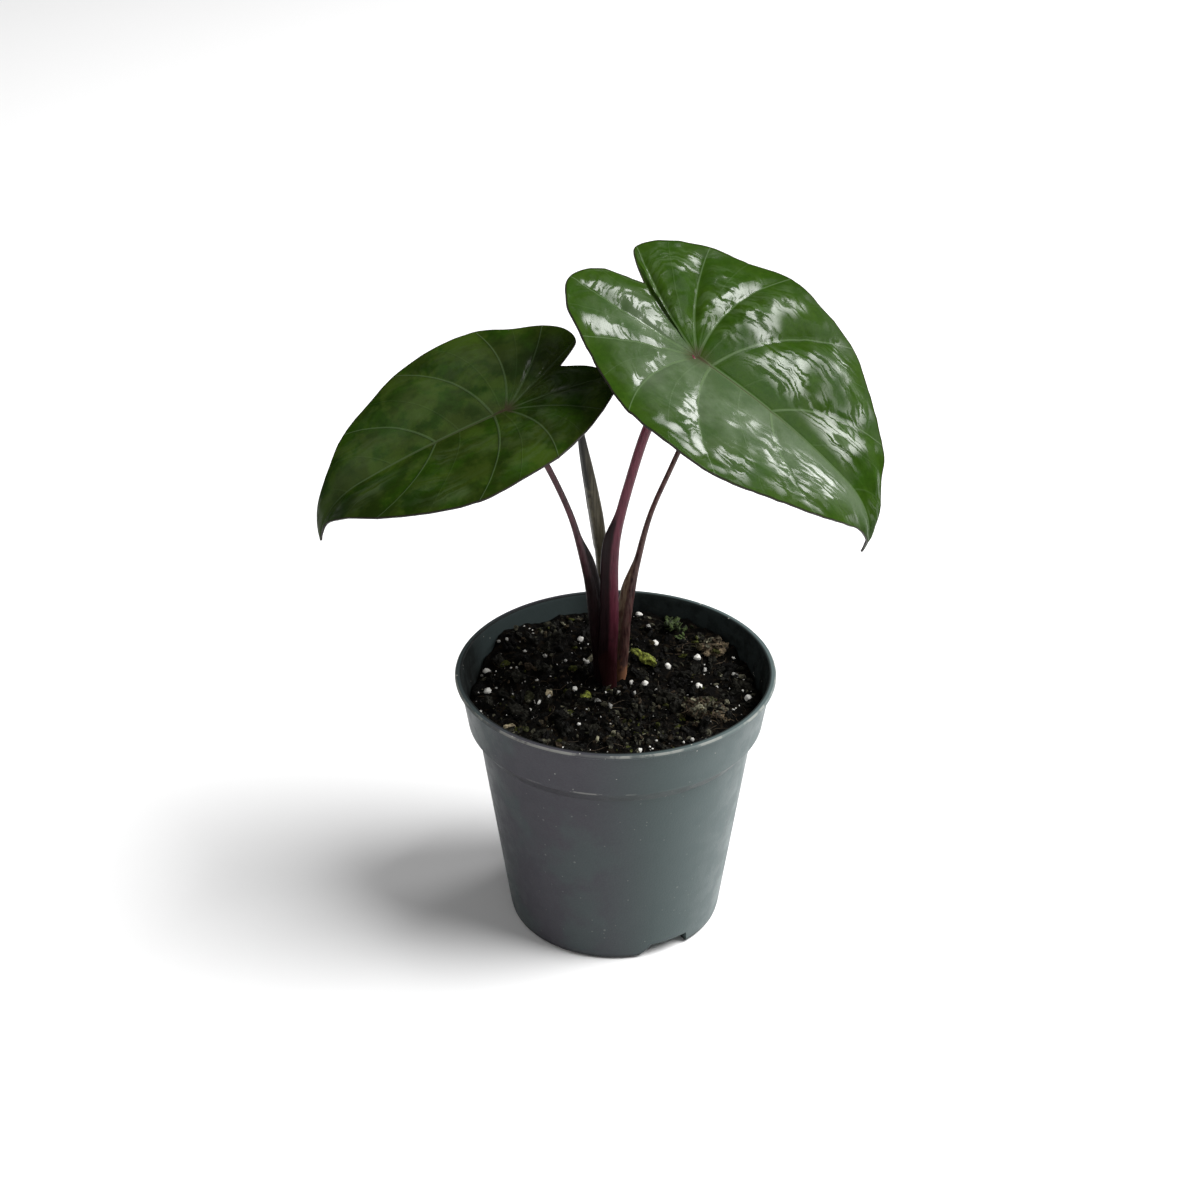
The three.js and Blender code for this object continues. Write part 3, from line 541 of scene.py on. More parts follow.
def stalk_group():
    """Skin of a stalk: long streaks, dark and pale specks, a dark lower part, a wing and a foot."""
    group = Group("Stalk Skin", {
        "Vector": None, "Skin": (0.1, 0.02, 0.03), "Shade": (0.02, 0.01, 0.01), "Streak": (0.3, 0.1, 0.12),
        "Wing": (0.01, 0.005, 0.005), "Wing Streak": (0.02, 0.01, 0.01), "Foot": (0.2, 0.1, 0.05),
        "Top": (0.01, 0.01, 0.01), "Wing Place": 0.0, "Foot Height": 0.085, "Dark Height": 0.13,
        "Top Height": 0.3, "Blotches": 0.3})
    given = group.given
    long = group.mapped(given["Vector"], scale=(1.0, 1.0, 0.07))
    streaks = group.mottle(long, 1500.0, 3.0, 0.14)
    patches = group.mottle(given["Vector"], 260.0, 4.0, 0.14)
    dots = group.specks(long, 2200.0, 0.42, 0.35)
    ragged = group.plus(group.parts(given["Vector"])[2], group.times(patches, 0.006))
    dark_low = group.maths("SUBTRACT", given["Dark Height"], 0.02)
    dark = group.ranged(ragged, dark_low, given["Dark Height"], 0.9, 0.0)
    top_high = group.plus(given["Top Height"], 0.01)
    top = group.ranged(ragged, given["Top Height"], top_high, 0.0, 0.92)
    wing = group.times(given["Wing Place"], 0.95)
    wing_tone = group.mix(group.times(streaks, 0.8), given["Wing"], given["Wing Streak"])
    foot_low = group.maths("SUBTRACT", given["Foot Height"], 0.006)
    foot = group.ranged(ragged, foot_low, given["Foot Height"], 0.8, 0.0)
    group.give({
        "Color": group.layers(
            given["Skin"], (group.times(patches, given["Blotches"]), given["Shade"]),
            (group.times(streaks, 0.35), given["Streak"]), (group.times(dots, 0.5), given["Shade"]),
            (dark, given["Shade"]), (top, given["Top"]), (wing, wing_tone), (foot, given["Foot"])),
        "Height": group.plus(streaks, group.times(patches, 0.4)),
        "Gloss": group.ranged(group.maths("MAXIMUM", wing, dark), 0.0, 1.0, 0.25, 0.0),
    })


# Materials

def pot_material(settings):
    """Satin plastic in two tints with dust, a stained inside, a darker inner lip, and painted light, shade
    and highlights.
    """
    skin = Skin("satin_pot", 0.42, 0.12, 0.35)
    ranged, times, at = skin.ranged, skin.times, skin.at
    x, y, z = skin.parts(at)
    flat = skin.add("ShaderNodeCombineXYZ", {"X": x, "Y": y}).outputs[0]
    radius = skin.add("ShaderNodeVectorMath", {0: flat}, operation="LENGTH").outputs["Value"]
    broad = skin.mottle(at, 26.0, 4.0, 0.16)
    fine = skin.mottle(at, 1600.0, 2.0, 0.3)
    wear = skin.mottle(at, 150.0, 5.0, 0.14)
    # the inner wall is what lies nearer to the axis than the middle of the wall
    middle = skin.plus(times(z, WALL_SLOPE), WALL_MIDDLE)
    inner = times(skin.maths("LESS_THAN", radius, middle), ranged(z, 0.0755, 0.077))
    plum = times(
        ranged(x, -0.05, -0.03, 0.15, 1.0), ranged(x, -0.015, 0.016, 1.0, 0.0),
        ranged(broad, 0.0, 0.6, 0.3, 1.0), skin.opposite(inner))
    # painted light brightens the pot's right side, and painted shade darkens its left
    painted_light_and_shade = ranged(x, 0.004, 0.042, 0.85, 1.45)
    # painted shade darkens the shoulder under the collar, and the pale line above it is a painted highlight
    painted_shoulder_shade = skin.band(z, 0.0698, 0.0705, 0.0742, 0.0748)
    line = times(
        skin.band(z, 0.0743, 0.0747, 0.0749, 0.0753), ranged(wear, 0.35, 0.8, 0.0, 0.35),
        ranged(x, -0.033, -0.02), ranged(x, -0.008, 0.012, 1.0, 0.1))
    # painted contact shadow darkens the lowest two millimetres of the foot
    foot = ranged(z, 0.0004, 0.0024, 0.85, 0.0)
    # peat stains the inner wall, and painted shade darkens it further low down and on its right and front,
    # which face away from the key light
    shaded = skin.maths("MAXIMUM", ranged(x, -0.018, 0.0), ranged(y, 0.012, 0.024, 1.0, 0.0))
    lip = skin.maths("GREATER_THAN", z, 0.09145)
    inner_stain_and_shade = times(
        ranged(z, 0.078, 0.0914, 1.0, 0.85), shaded, ranged(wear, 0.0, 1.0, 0.8, 1.0), inner,
        skin.opposite(lip))
    # the inner edge of the lip's top is darker
    lip_inner_dark = times(lip, ranged(radius, 0.0506, 0.0512, 0.85, 0.0))
    # a painted highlight along the lip's outer edge, in the dust colour
    painted_lip_highlight = times(
        ranged(radius, 0.0518, 0.0521), ranged(z, 0.0908, 0.0912), ranged(wear, 0.2, 0.8, 0.12, 0.5))
    specks = skin.plus(skin.specks(at, 210.0, 0.1, 0.3), skin.specks(at, 520.0, 0.16, 0.14))
    soiled = times(specks, ranged(z, 0.07, 0.0915, 0.18, 0.9))
    tone = skin.layers(
        skin.mix(1.0, settings.plastic, painted_light_and_shade, "MULTIPLY"), (plum, settings.plum),
        (times(fine, 0.12), shade(settings.plastic, 1.5)), (times(painted_shoulder_shade, 0.4), settings.stain_and_shade),
        (line, settings.dust_and_highlight), (foot, settings.stain_and_shade), (inner_stain_and_shade, settings.stain_and_shade), (lip_inner_dark, settings.stain_and_shade),
        (painted_lip_highlight, settings.dust_and_highlight), (soiled, settings.dust_and_highlight))
    rough = skin.plus(ranged(wear, 0.0, 1.0, 0.38, 0.48), times(skin.plus(soiled, inner_stain_and_shade), 0.4))
    return skin.finish(tone, rough, ranged(inner, 0.0, 1.0, 0.06, 0.0), (fine, 0.00004, 0.6))


def earth_material(settings):
    """Peat and bark: near black, with brown fibres and a damp glint here and there."""
    skin = Skin("moist_peat", 0.95, 0.05)
    clods = skin.mottle(skin.at, 330.0, 6.0, 0.16)
    threads_at = skin.mapped(skin.at, rotation=(0.4, 0.2, 0.9), scale=(0.25, 1.0, 1.0))
    threads = skin.mottle(threads_at, 858.0, 5.0, 0.12)
    grit = skin.specks(skin.at, 900.0, 0.25, 0.06)
    tone = skin.layers(
        settings.peat, (skin.times(skin.ranged(threads, 0.55, 1.0, 0.0, 0.4), clods), settings.fibre),
        (skin.times(grit, 0.5), shade(settings.fibre, 2.2)))
    inputs = {"Vector": skin.at, "Scale": 1980.0, "Detail": 6.0, "Roughness": 0.7}
    rough = skin.add("ShaderNodeTexNoise", inputs).outputs["Fac"]
    return skin.finish(tone, skin.ranged(clods, 0.0, 1.0, 0.62, 0.95), bump=(rough, 0.0008, 0.9))


def chip_material(name, light, dark, scale, roughness, grain, bump_height):
    """Bark, chips and moss: two tones by patches and grain, with a rough face."""
    skin = Skin(name, roughness, 0.3)
    stretched = skin.mapped(skin.at, rotation=(0.3, 0.5, 0.7), scale=grain)
    patches = skin.mottle(stretched, scale, 6.0, 0.16)
    pits = skin.specks(skin.at, scale * 3, 0.4, 0.5)
    tone = skin.layers(light, (patches, dark), (skin.times(pits, 0.35), dark))
    height = skin.maths("SUBTRACT", patches, skin.times(pits, 0.7))
    return skin.finish(tone, bump=(height, bump_height, 0.9))


def crumb_material(settings):
    """Crumbs of peat and bark: most near black, some brown or ash grey, a few pale."""
    skin = Skin("dark_crumbs", 0.75, 0.12)
    tone = skin.attribute("tone")
    patches = skin.mottle(skin.at, 900.0, 5.0, 0.12)
    steps = (
        (0.3, 0.75, shade(settings.ash, 0.2)), (0.72, 0.75, shade(settings.moss, 0.14)),
        (0.78, 0.82, shade(settings.fibre, 1.4)), (0.87, 0.9, settings.ash),
        (0.975, 0.985, shade(settings.ash, 3)),
    )
    shown = skin.layers(
        settings.peat, *[(skin.ranged(tone, low, high), colour) for low, high, colour in steps],
        (skin.times(patches, 0.75), settings.peat))
    return skin.finish(shown, skin.ranged(patches, 0.0, 1.0, 0.5, 0.95), bump=(patches, 0.0003, 0.8))


def fibre_material(settings):
    """Strands from dark to pale brown, by their tone."""
    skin = Skin("root_fibre", 0.75, 0.3)
    patches = skin.mottle(skin.at, 900.0, 3.0, 0.2)
    shown = skin.layers(
        shade(settings.fibre, 0.35), (skin.attribute("tone"), shade(settings.fibre, 3.0)),
        (skin.times(patches, 0.6), shade(settings.fibre, 0.25)))
    return skin.finish(shown, bump=(patches, 0.00005, 0.5))


def perlite_material(settings):
    """White puffed grains with fine pits, some of them soiled."""
    skin = Skin("white_perlite", 0.85, 0.3)
    pits = skin.specks(skin.at, 2400.0, 0.4, 0.5)
    soil = skin.mottle(skin.at, 700.0, 4.0, 0.15)
    dirty = skin.times(skin.attribute("tone"), skin.ranged(soil, 0.0, 1.0, 0.75, 1.35))
    shown = skin.layers(
        settings.perlite, (skin.times(pits, 0.35), shade(settings.perlite, 0.6)),
        (dirty, shade(settings.peat, 3)))
    return skin.finish(shown, bump=(skin.opposite(pits), 0.0001, 0.8))


def blade_material(name, tissue, vein, heart, settings, roughness, shares, wax_and_sheen, patchy=0.0, ridges=0.0):
    """A face of a blade: mottled tissue and veins, with waxed streaks that cross each field, painted
    highlights along the fine ridges, and a painted sheen on the front half.
    """
    skin = Skin(name, roughness, 0.012, 0.17)
    ranged, times, at = skin.ranged, skin.times, skin.at
    clouds = skin.mottle(at, 70.0, 4.0, 0.2)
    # the vein map holds the station along the leaf, and the share of the way out with its side
    vein_map = skin.add("ShaderNodeUVMap", uv_map="veins").outputs["UV"]
    station, signed_share = skin.parts(vein_map)[:2]
    share = skin.maths("ABSOLUTE", signed_share, 0.0)
    swing = times(skin.mottle(at, 210.0, 4.0, 0.35), 1.1)
    across = skin.add("ShaderNodeCombineXYZ", {
        "X": skin.plus(skin.attribute("feather_turns"), swing), "Y": times(station, 0.7),
        "Z": skin.maths("SIGN", signed_share, 0.0)}).outputs[0]
    streak = skin.mottle(across, 1.6, 4.0, 0.13)
    tufts = skin.mottle(at, 60.0, 2.0, 0.2)
    zone = times(ranged(share, 0.1, 0.4), ranged(share, 0.86, 1.0, 1.0, 0.15))
    polish = times(zone, tufts, ranged(streak, 0.0, 0.62, 0.05, 1.0))
    # the fine ridges also carry a pale painted highlight in the colour
    ridge_and_highlight = times(streak, skin.attribute("feather"), tufts)
    # a pale painted sheen on the front half, strongest nearer the midrib
    painted_sheen = times(
        skin.maths("LESS_THAN", signed_share, 0.0), ranged(share, 0.45, 0.95, 1.0, 0.0),
        ranged(clouds, 0.0, 1.0, 0.2 * wax_and_sheen ** 2, 0.42 * wax_and_sheen ** 2))
    tone = skin.layers(
        tissue, (clouds, [v * (f + patchy) for v, f in zip(tissue, (1.3, 1.1, 0.9))]),
        (times(skin.mottle(at, 700.0, 3.0, 0.2), 0.35), shade(tissue, 0.6)),
        (times(skin.mottle(at, 120.0, 8.0, 0.08), patchy), WORN_GREEN),
        (times(skin.mottle(at, 75.0, 7.0, 0.08), patchy * 0.6), AGED_GREEN),
        (times(ridge_and_highlight, 0.55 * ridges), [v * 0.85 + t * 0.5 for v, t in zip(vein, tissue)]),
        (painted_sheen, PAINTED_SHEEN))
    places = [skin.attribute(label) for label in BLADE_PLACES]
    face = skin.group("Blade Face", tone, vein, settings.margin, heart, *shares, *places)
    cells = skin.add("ShaderNodeTexVoronoi", {"Vector": at, "Scale": 1900.0}).outputs["Distance"]
    relief = times(ridge_and_highlight, ridges * settings.feather_height / BLADE_BUMP)
    height = skin.plus(skin.plus(times(cells, 0.12), face["Height"]), relief)
    return skin.finish(
        face["Color"], ranged(clouds, 0.0, 1.0, roughness - 0.05, roughness + 0.09),
        ranged(polish, 0.0, 1.0, wax_and_sheen * 0.02, wax_and_sheen), (height, BLADE_BUMP, 0.8))


def stalk_material(name, colours, heights, blotches):
    """Skin of a stalk from its colours, and the heights of its foot, dark part and top in metres."""
    skin = Skin(name, 0.42, 0.15, 0.25)
    face = skin.group("Stalk Skin", skin.at, *colours, skin.attribute("wing"), *heights, blotches)
    rough = skin.ranged(face["Height"], 0.0, 1.4, 0.34, 0.55)
    return skin.finish(face["Color"], rough, face["Gloss"], (face["Height"], 0.00008, 0.7))


# Shapes shared by the pieces

def smoothstep(value, low, high):
    share = min(1.0, max(0.0, (value - low) / (high - low)))
    return share * share * (3 - 2 * share)


def catmull(points, place):
    """Point of a smooth line through the points, at a place counted in points."""
    low = min(int(place), len(points) - 2)
    share = place - low
    a, b = points[low], points[low + 1]
    before = points[low - 1] if low else a * 2 - b
    after = points[low + 2] if low + 2 < len(points) else b * 2 - a
    start, finish = (b - before) * 0.5, (after - a) * 0.5
    square, cube = share * share, share ** 3
    part = (b * 3 - a * 3 - start * 2 - finish) * square
    return a + start * share + part + (a * 2 - b * 2 + start + finish) * cube


def made_mesh(name, bm):
    mesh = bpy.data.meshes.new(name)
    bm.to_mesh(mesh)
    bm.free()
    return mesh


def add_object(name, data):
    made = bpy.data.objects.new(name, data)
    bpy.context.scene.collection.objects.link(made)
    return made


def add_piece(name, bm, materials, nodes=(), smooth=True):
    """Makes the piece from its mesh in metres, and puts it on the plant's body."""
    mesh = made_mesh(name, bm)
    for made in materials:
        mesh.materials.append(made)
    if smooth:
        mesh.shade_smooth()
    piece = add_object(name, mesh)
    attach(piece, "root")
    if nodes:
        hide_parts(*nodes)
    return piece


def ring_edges(ring):
    return list({edge for v in ring for edge in v.link_edges})


def draw_out(bm, edges):
    """Extrudes a ring of edges, and gives the new edges and the new corners."""
    made = bmesh.ops.extrude_edge_only(bm, edges=edges)["geom"]
    kinds = (bmesh.types.BMEdge, bmesh.types.BMVert)
    return ([part for part in made if isinstance(part, kind)] for kind in kinds)


# The pot

def spin_outline(outline, steps):
    """A round body from its outline of (radius, height) in millimetres."""
    bm = bmesh.new()
    verts = [bm.verts.new((radius * MM, 0, height * MM)) for radius, height in outline]
    edges = [bm.edges.new(pair) for pair in zip(verts, verts[1:])]
    bmesh.ops.spin(
        bm, geom=verts + edges, cent=(0, 0, 0), axis=(0, 0, 1), angle=math.tau, steps=steps, use_merge=True)
    bmesh.ops.remove_doubles(bm, verts=bm.verts, dist=0.00001)
    bmesh.ops.recalc_face_normals(bm, faces=bm.faces)
    return bm


def is_ring_edge(edge):
    a, b = (v.co for v in edge.verts)
    return abs(a.z - b.z) < 1e-7 and abs(a.xy.length - b.xy.length) < 1e-6


def notch_tool(bm, turn, near, low, high, wider):
    """A block that cuts into the foot from outside to the radius near, gentle at its left end."""
    for v in bmesh.ops.create_cube(bm, size=2)["verts"]:
        height = high if v.co.z > 0 else low
        start, lean = NOTCH_RIGHT if v.co.x > 0 else NOTCH_LEFT
        side = start + lean * height + math.copysign(wider, v.co.x)
        v.co = Vector((side, -near if v.co.y > 0 else -NOTCH_OUTSIDE - wider, height)) * MM
        v.co.rotate(Matrix.Rotation(math.radians(turn), 3, "Z"))


def drain_tool(bm, turn):
    angle = math.radians(turn - 90)
    place = Vector((DRAIN_RING * math.cos(angle), DRAIN_RING * math.sin(angle), DRAIN_LEVEL)) * MM
    bmesh.ops.create_cone(
        bm, cap_ends=True, segments=DRAIN_SIDES, radius1=DRAIN_RADIUS * MM, radius2=DRAIN_RADIUS * MM,
        depth=DRAIN_DEPTH * MM, matrix=Matrix.Translation(place))


def cut_away(piece, tools):
    """Cuts a mesh of closed tools out of a piece, for good."""
    holder = add_object("foot_tools", made_mesh("foot_tools", tools))
    cut = piece.modifiers.new("Foot", "BOOLEAN")
    cut.object = holder
    cut.solver = "EXACT"
    graph = bpy.context.evaluated_depsgraph_get()
    shape = bpy.data.meshes.new_from_object(piece.evaluated_get(graph))
    piece.modifiers.clear()
    piece.data = shape
    bpy.data.objects.remove(holder)


def cut_foot(piece):
    """Cuts the drain holes and the notches through the foot, then their recess in the wall above."""
    for drains, notch in ((DRAIN_TURNS, NOTCH_CUT), ((), RECESS_CUT)):
        tools = bmesh.new()
        for turn in drains:
            drain_tool(tools, turn)
        for turn in NOTCH_TURNS:
            notch_tool(tools, turn, *notch)
        cut_away(piece, tools)
    piece.data.set_sharp_from_angle(angle=math.radians(CREASE_ANGLE))


class PLANT_OT_pot(bpy.types.Operator):
    """Turns the pot from its outline, with notches in its foot and drain holes in its floor"""
    bl_idname = "plant.add_pot"
    bl_label = "Pot"

    def execute(self, context):
        settings = context.scene.alocasia_pot
        bm = spin_outline(POT_OUTLINE, POT_STEPS)
        rings = [e for e in bm.edges if is_ring_edge(e) and e.is_manifold]
        sharp = [e for e in rings if e.calc_face_angle() > math.radians(RING_ANGLE)]
        bmesh.ops.bevel(
            bm, geom=sharp, offset=settings.edge_round, affect="EDGES", segments=3, profile=0.5,
            material=-1, clamp_overlap=True)
        piece = add_piece("nursery_pot", bm, [pot_material(settings)], ["pot"])
        cut_foot(piece)
        return {"FINISHED"}


# The potting mix

def mound(x, y, centre, height, spread):
    distance = ((x - centre[0]) ** 2 + (y - centre[1]) ** 2) / (2 * spread * spread)
    return height * math.exp(-distance)


def soil_level(x, y):
    """Height of the mix in millimetres: lumpy, and banked up at the back wall."""
    broad = 0.9 * math.sin(0.42 * x + 0.6) * math.sin(0.37 * y + 1.1)
    fine = 0.5 * math.sin(0.71 * x - 0.55 * y)
    bank = BANK_HEIGHT * smoothstep(y, 4, 47)
    return sum((mound(x, y, *heap) for heap in MOUNDS), SOIL_TOP + broad + fine + bank)


def soil_rim(angle):
    """Radius at which the mix meets the wall, which widens upwards."""
    level = soil_level(WALL_REACH * math.cos(angle), WALL_REACH * math.sin(angle))
    return SOIL_REACH + WALL_SLOPE * (level - SOIL_REACH_LEVEL)


def crumble(x, y):
    """Crumbs and clods of the surface, about -1 to 1."""
    place = Vector((x, y, 0))
    warped = place + noise.noise_vector(place * 0.25) * 1.5
    heaps = 0.55 - noise.voronoi(warped * 0.13)[0][0]
    clods = 0.5 - noise.voronoi(warped * 0.3)[0][0]
    nuggets = 0.5 - noise.voronoi(warped * 0.75)[0][0]
    return heaps * 0.9 + clods * 0.6 + nuggets * 0.45 + noise.fractal(place * 0.9, 1.0, 2.1, 4) * 0.4


class PLANT_OT_soil(bpy.types.Operator):
    """Fills the pot with crumbly potting mix"""
    bl_idname = "plant.add_soil"
    bl_label = "Potting Mix"

    def execute(self, context):
        settings = context.scene.alocasia_soil
        top = [(SOIL_RIM * k / SOIL_RINGS, SOIL_TOP) for k in range(SOIL_RINGS + 1)]
        bm = spin_outline(top + SOIL_WALL, SOIL_STEPS)
        for v in bm.verts:
            if v.co.z < (SOIL_TOP - 1) * MM:
                continue
            share = v.co.xy.length / MM / SOIL_RIM
            spread = soil_rim(math.atan2(v.co.y, v.co.x)) / SOIL_RIM / MM
            x, y = v.co.x * spread, v.co.y * spread
            rough = crumble(x, y) * settings.lump_height / MM * (1 - 0.5 * smoothstep(share, 0.94, 1))
            v.co = Vector((x, y, soil_level(x, y) + rough)) * MM
        add_piece("potting_mix", bm, [earth_material(settings)], ["soil"])
        return {"FINISHED"}


class Ground:
    """Where the surface lies under a place in millimetres, on the mix and on the named pieces."""

    def __init__(self, *names):
        graph = bpy.context.evaluated_depsgraph_get()
        pieces = [bpy.data.objects[name] for name in ("potting_mix", *names)]
        self.trees = [BVHTree.FromObject(piece, graph) for piece in pieces]

    def height(self, x, y):
        start = Vector((x * MM, y * MM, ABOVE_SOIL))
        hits = [tree.ray_cast(start, Vector((0, 0, -1)))[0] for tree in self.trees]
        return max(hit.z for hit in hits if hit) / MM


def add_grain(bm, place, sizes, turns, subdivisions, rough, seed):
    """A lump with a noisy face, added to the mesh. The place and sizes are in millimetres."""
    made = bmesh.ops.create_icosphere(bm, subdivisions=subdivisions, radius=1)
    offset = Vector((seed * 3.1, seed * 1.7, seed * 2.3))
    for v in made["verts"]:
        v.co *= 1 + rough * noise.fractal(v.co * 1.3 + offset, 1.0, 2.0, 3)
    matrix = Matrix.Translation(Vector(place) * MM) @ Euler(turns).to_matrix().to_4x4()
    matrix = matrix @ Matrix.Diagonal((*[size * MM for size in sizes], 1))
    bmesh.ops.transform(bm, matrix=matrix, verts=made["verts"])
    return made["verts"]


def add_toned_grain(bm, tone, *grain):
    """A lump whose corners carry a tone of 0 to 1 for its material."""
    layer = bm.verts.layers.float["tone"]
    for v in add_grain(bm, *grain):
        v[layer] = tone


def toned_mesh():
    bm = bmesh.new()
    bm.verts.layers.float.new("tone")
    return bm


class Batches:
    """Many small shapes, made in meshes of a few dozen, which stay quick to work on, then joined."""

    def __init__(self):
        self.parts, self.count = [], 0

    def part(self):
        if self.count % BATCH == 0:
            self.parts.append(toned_mesh())
        self.count += 1
        return self.parts[-1]

    def joined(self):
        whole = toned_mesh()
        holder = bpy.data.meshes.new("holder")
        for part in self.parts:
            part.to_mesh(holder)
            part.free()
            whole.from_mesh(holder)
        bpy.data.meshes.remove(holder)
        return whole


def near_stalks(x, y):
    return math.hypot(x - STALKS_X, y - STALKS_Y) < STALKS_ROOM


def scattered(rng, reach):
    """A random place on the mix, away from the stalks."""
    while True:
        angle, radius = rng.uniform(0, math.tau), reach * math.sqrt(rng.random())
        x, y = radius * math.cos(angle), radius * math.sin(angle)
        if not near_stalks(x, y):
            return x, y


class PLANT_OT_chunks(bpy.types.Operator):
    """Lays the bark lumps, the chips and the moss on the mix"""
    bl_idname = "plant.add_chunks"
    bl_label = "Bark, Chips and Moss"

    def execute(self, context):
        settings = context.scene.alocasia_soil
        bark = (0.2, 0.15, 0.09), (0.006, 0.004, 0.003), 420.0, 0.9, (0.3, 1.0, 1.6), 0.0008
        chip = (0.5, 0.43, 0.28), (0.1, 0.075, 0.04), 600.0, 0.8, (0.6, 1, 1), 0.0003
        moss = settings.moss, shade(settings.moss, 0.12), 700.0, 0.8, PLAIN, 0.0008
        finishes = {
            "bark": chip_material("red_bark", *bark), "chip": chip_material("tan_chip", *chip),
            "moss": chip_material("yellow_moss", *moss),
        }
        for k, (name, (x, y), sizes, turn, finish, rough) in enumerate(LUMPS):
            bm = bmesh.new()
            level = soil_level(x, y) + 0.3 * sizes[2]
            add_grain(bm, (x, y, level), sizes, (0, 0, math.radians(turn)), 5, rough, k + 3)
            add_piece(name + "_lump", bm, [finishes[finish]], [name])
        self.add_moss_tuft(settings)
        return {"FINISHED"}

    @staticmethod
    def add_moss_tuft(settings):
        """A dark green tuft at the back, of small overlapping leaves."""
        rng = random.Random(SEED + 4)
        bm = bmesh.new()
        for k in range(TUFT_LEAVES):
            x, y = TUFT_PLACE[0] + rng.gauss(0, 1.7), TUFT_PLACE[1] + rng.gauss(0, 1.9)
            height = soil_level(x, y) + rng.uniform(0.2, 2.9)
            sizes = (rng.uniform(0.7, 1.5), rng.uniform(0.5, 1.0), rng.uniform(0.2, 0.45))
            turns = [rng.uniform(-1.1, 1.1), rng.uniform(-1.1, 1.1), rng.uniform(0, math.tau)]
            add_grain(bm, (x, y, height), sizes, turns, 2, 0.5, k)
        dark = [v * f for v, f in zip(settings.moss, (0.14, 0.19, 0.28))]
        tuft = chip_material("green_tuft", dark, shade(dark, 0.15), 500.0, 0.7, PLAIN, 0.0004)
        add_piece("moss_tuft", bm, [tuft])


class PLANT_OT_crumbs(bpy.types.Operator):
    """Strews crumbs, shreds of bark and fibres over the mix"""
    bl_idname = "plant.add_crumbs"
    bl_label = "Crumbs and Fibres"

    def execute(self, context):
        settings = context.scene.alocasia_soil
        ground = Ground("bark_front_lump", "bark_back_lump")
        rng = random.Random(SEED)
        crumbs = Batches()
        for k in range(settings.crumb_count):
            x, y = scattered(rng, CRUMB_REACH)
            size = rng.choice((0.35, 0.45, 0.6, 0.8, 1.1)) * rng.uniform(0.8, 1.25)
            self.add_crumb(crumbs.part(), rng, ground, x, y, size, 0.4, k, rng.random())
        for k in range(settings.clod_count):
            x, y = scattered(rng, CLOD_REACH)
            size = rng.uniform(1.1, 2.5)
            tone = rng.uniform(0.35, 0.735)
            self.add_crumb(crumbs.part(), rng, ground, x, y, size, 0.15, k + 9, tone, 3)
        for centre_x, centre_y, spread, number, darkest in HEAPS:
            for k in range(number):
                x, y = centre_x + spread * rng.gauss(0, 0.55), centre_y + spread * rng.gauss(0, 0.45)
                if math.hypot(x, y) < HEAP_REACH and not near_stalks(x, y):
                    tone = darkest + (1 - darkest) * rng.random()
                    size = rng.uniform(0.3, 1.15)
                    self.add_crumb(crumbs.part(), rng, ground, x, y, size, 0.9, k + 50, tone)
        add_piece("crumbs", crumbs.joined(), [crumb_material(settings)], smooth=False)
        fibres = Batches()
        for k in range(settings.fibre_count):
            x, y = scattered(rng, FIBRE_REACH)
            self.add_fibre(fibres.part(), rng, ground, x, y)
        # shreds of bark lie around the front lump
        front = LUMPS[1][1]
        for k in range(SHREDS):
            x, y = front[0] + 6.5 * rng.gauss(0, 0.6), front[1] + 4.5 * rng.gauss(0, 0.6)
            self.add_fibre(fibres.part(), rng, ground, x, y, 0.55, 0.7)
        add_piece("fibres", fibres.joined(), [fibre_material(settings)])
        return {"FINISHED"}

    @staticmethod
    def add_crumb(bm, rng, ground, x, y, size, rise, seed, tone, steps=0):
        """A crumb with a random form and turn. The steps make a finer and rougher one."""
        sizes = (size * rng.uniform(0.8, 1.6), size * rng.uniform(0.5, 1.0), size * rng.uniform(0.4, 0.9))
        turns = (rng.uniform(-0.9, 0.9), rng.uniform(-0.9, 0.9), rng.uniform(0, math.tau))
        place = (x, y, ground.height(x, y) + sizes[2] * rng.uniform(0.2, 1.0) * rise)
        fineness = steps or (2 if size > 0.9 else 1)
        add_toned_grain(bm, tone, place, sizes, turns, fineness, 0.6 + 0.1 * steps, seed)

    @staticmethod
    def add_fibre(bm, rng, ground, x, y, reach=1.0, tone=0.0):
        """A thin bent strand lying on the mix."""
        angle = rng.uniform(0, math.tau)
        curl = rng.uniform(-0.4, 0.4)
        step = rng.uniform(0.7, 1.8) * reach
        thick = rng.uniform(0.05, 0.13)
        layer = bm.verts.layers.float["tone"]
        tint = min(1, tone + rng.random() ** 2)
        ring = bmesh.ops.create_circle(bm, segments=4, radius=thick * MM)["verts"]
        first = edges = ring_edges(ring)
        height = ground.height(x, y)
        bmesh.ops.rotate(bm, verts=ring, matrix=Matrix.Rotation(math.pi / 2, 3, "Y"))
        bmesh.ops.rotate(bm, verts=ring, matrix=Matrix.Rotation(angle, 3, "Z"))
        bmesh.ops.translate(bm, verts=ring, vec=Vector((x, y, height + thick)) * MM)
        for v in ring:
            v[layer] = tint
        for _ in range(STRAND_STEPS):
            x, y = x + step * math.cos(angle), y + step * math.sin(angle)
            if math.hypot(x, y) > STRAND_REACH:
                break
            edges, ring = draw_out(bm, edges)
            centre = sum((v.co for v in ring), Vector()) / len(ring)
            bmesh.ops.rotate(bm, cent=centre, matrix=Matrix.Rotation(curl, 3, "Z"), verts=ring)
            angle += curl
            height += (max(ground.height(x, y), height - 0.4) - height) * 0.7
            place = Vector((x, y, height + thick + 0.1)) * MM
            bmesh.ops.translate(bm, verts=ring, vec=place - centre)
        ends = [e for e in first + edges if e.is_valid and e.is_boundary]
        bmesh.ops.holes_fill(bm, edges=ends, sides=4)


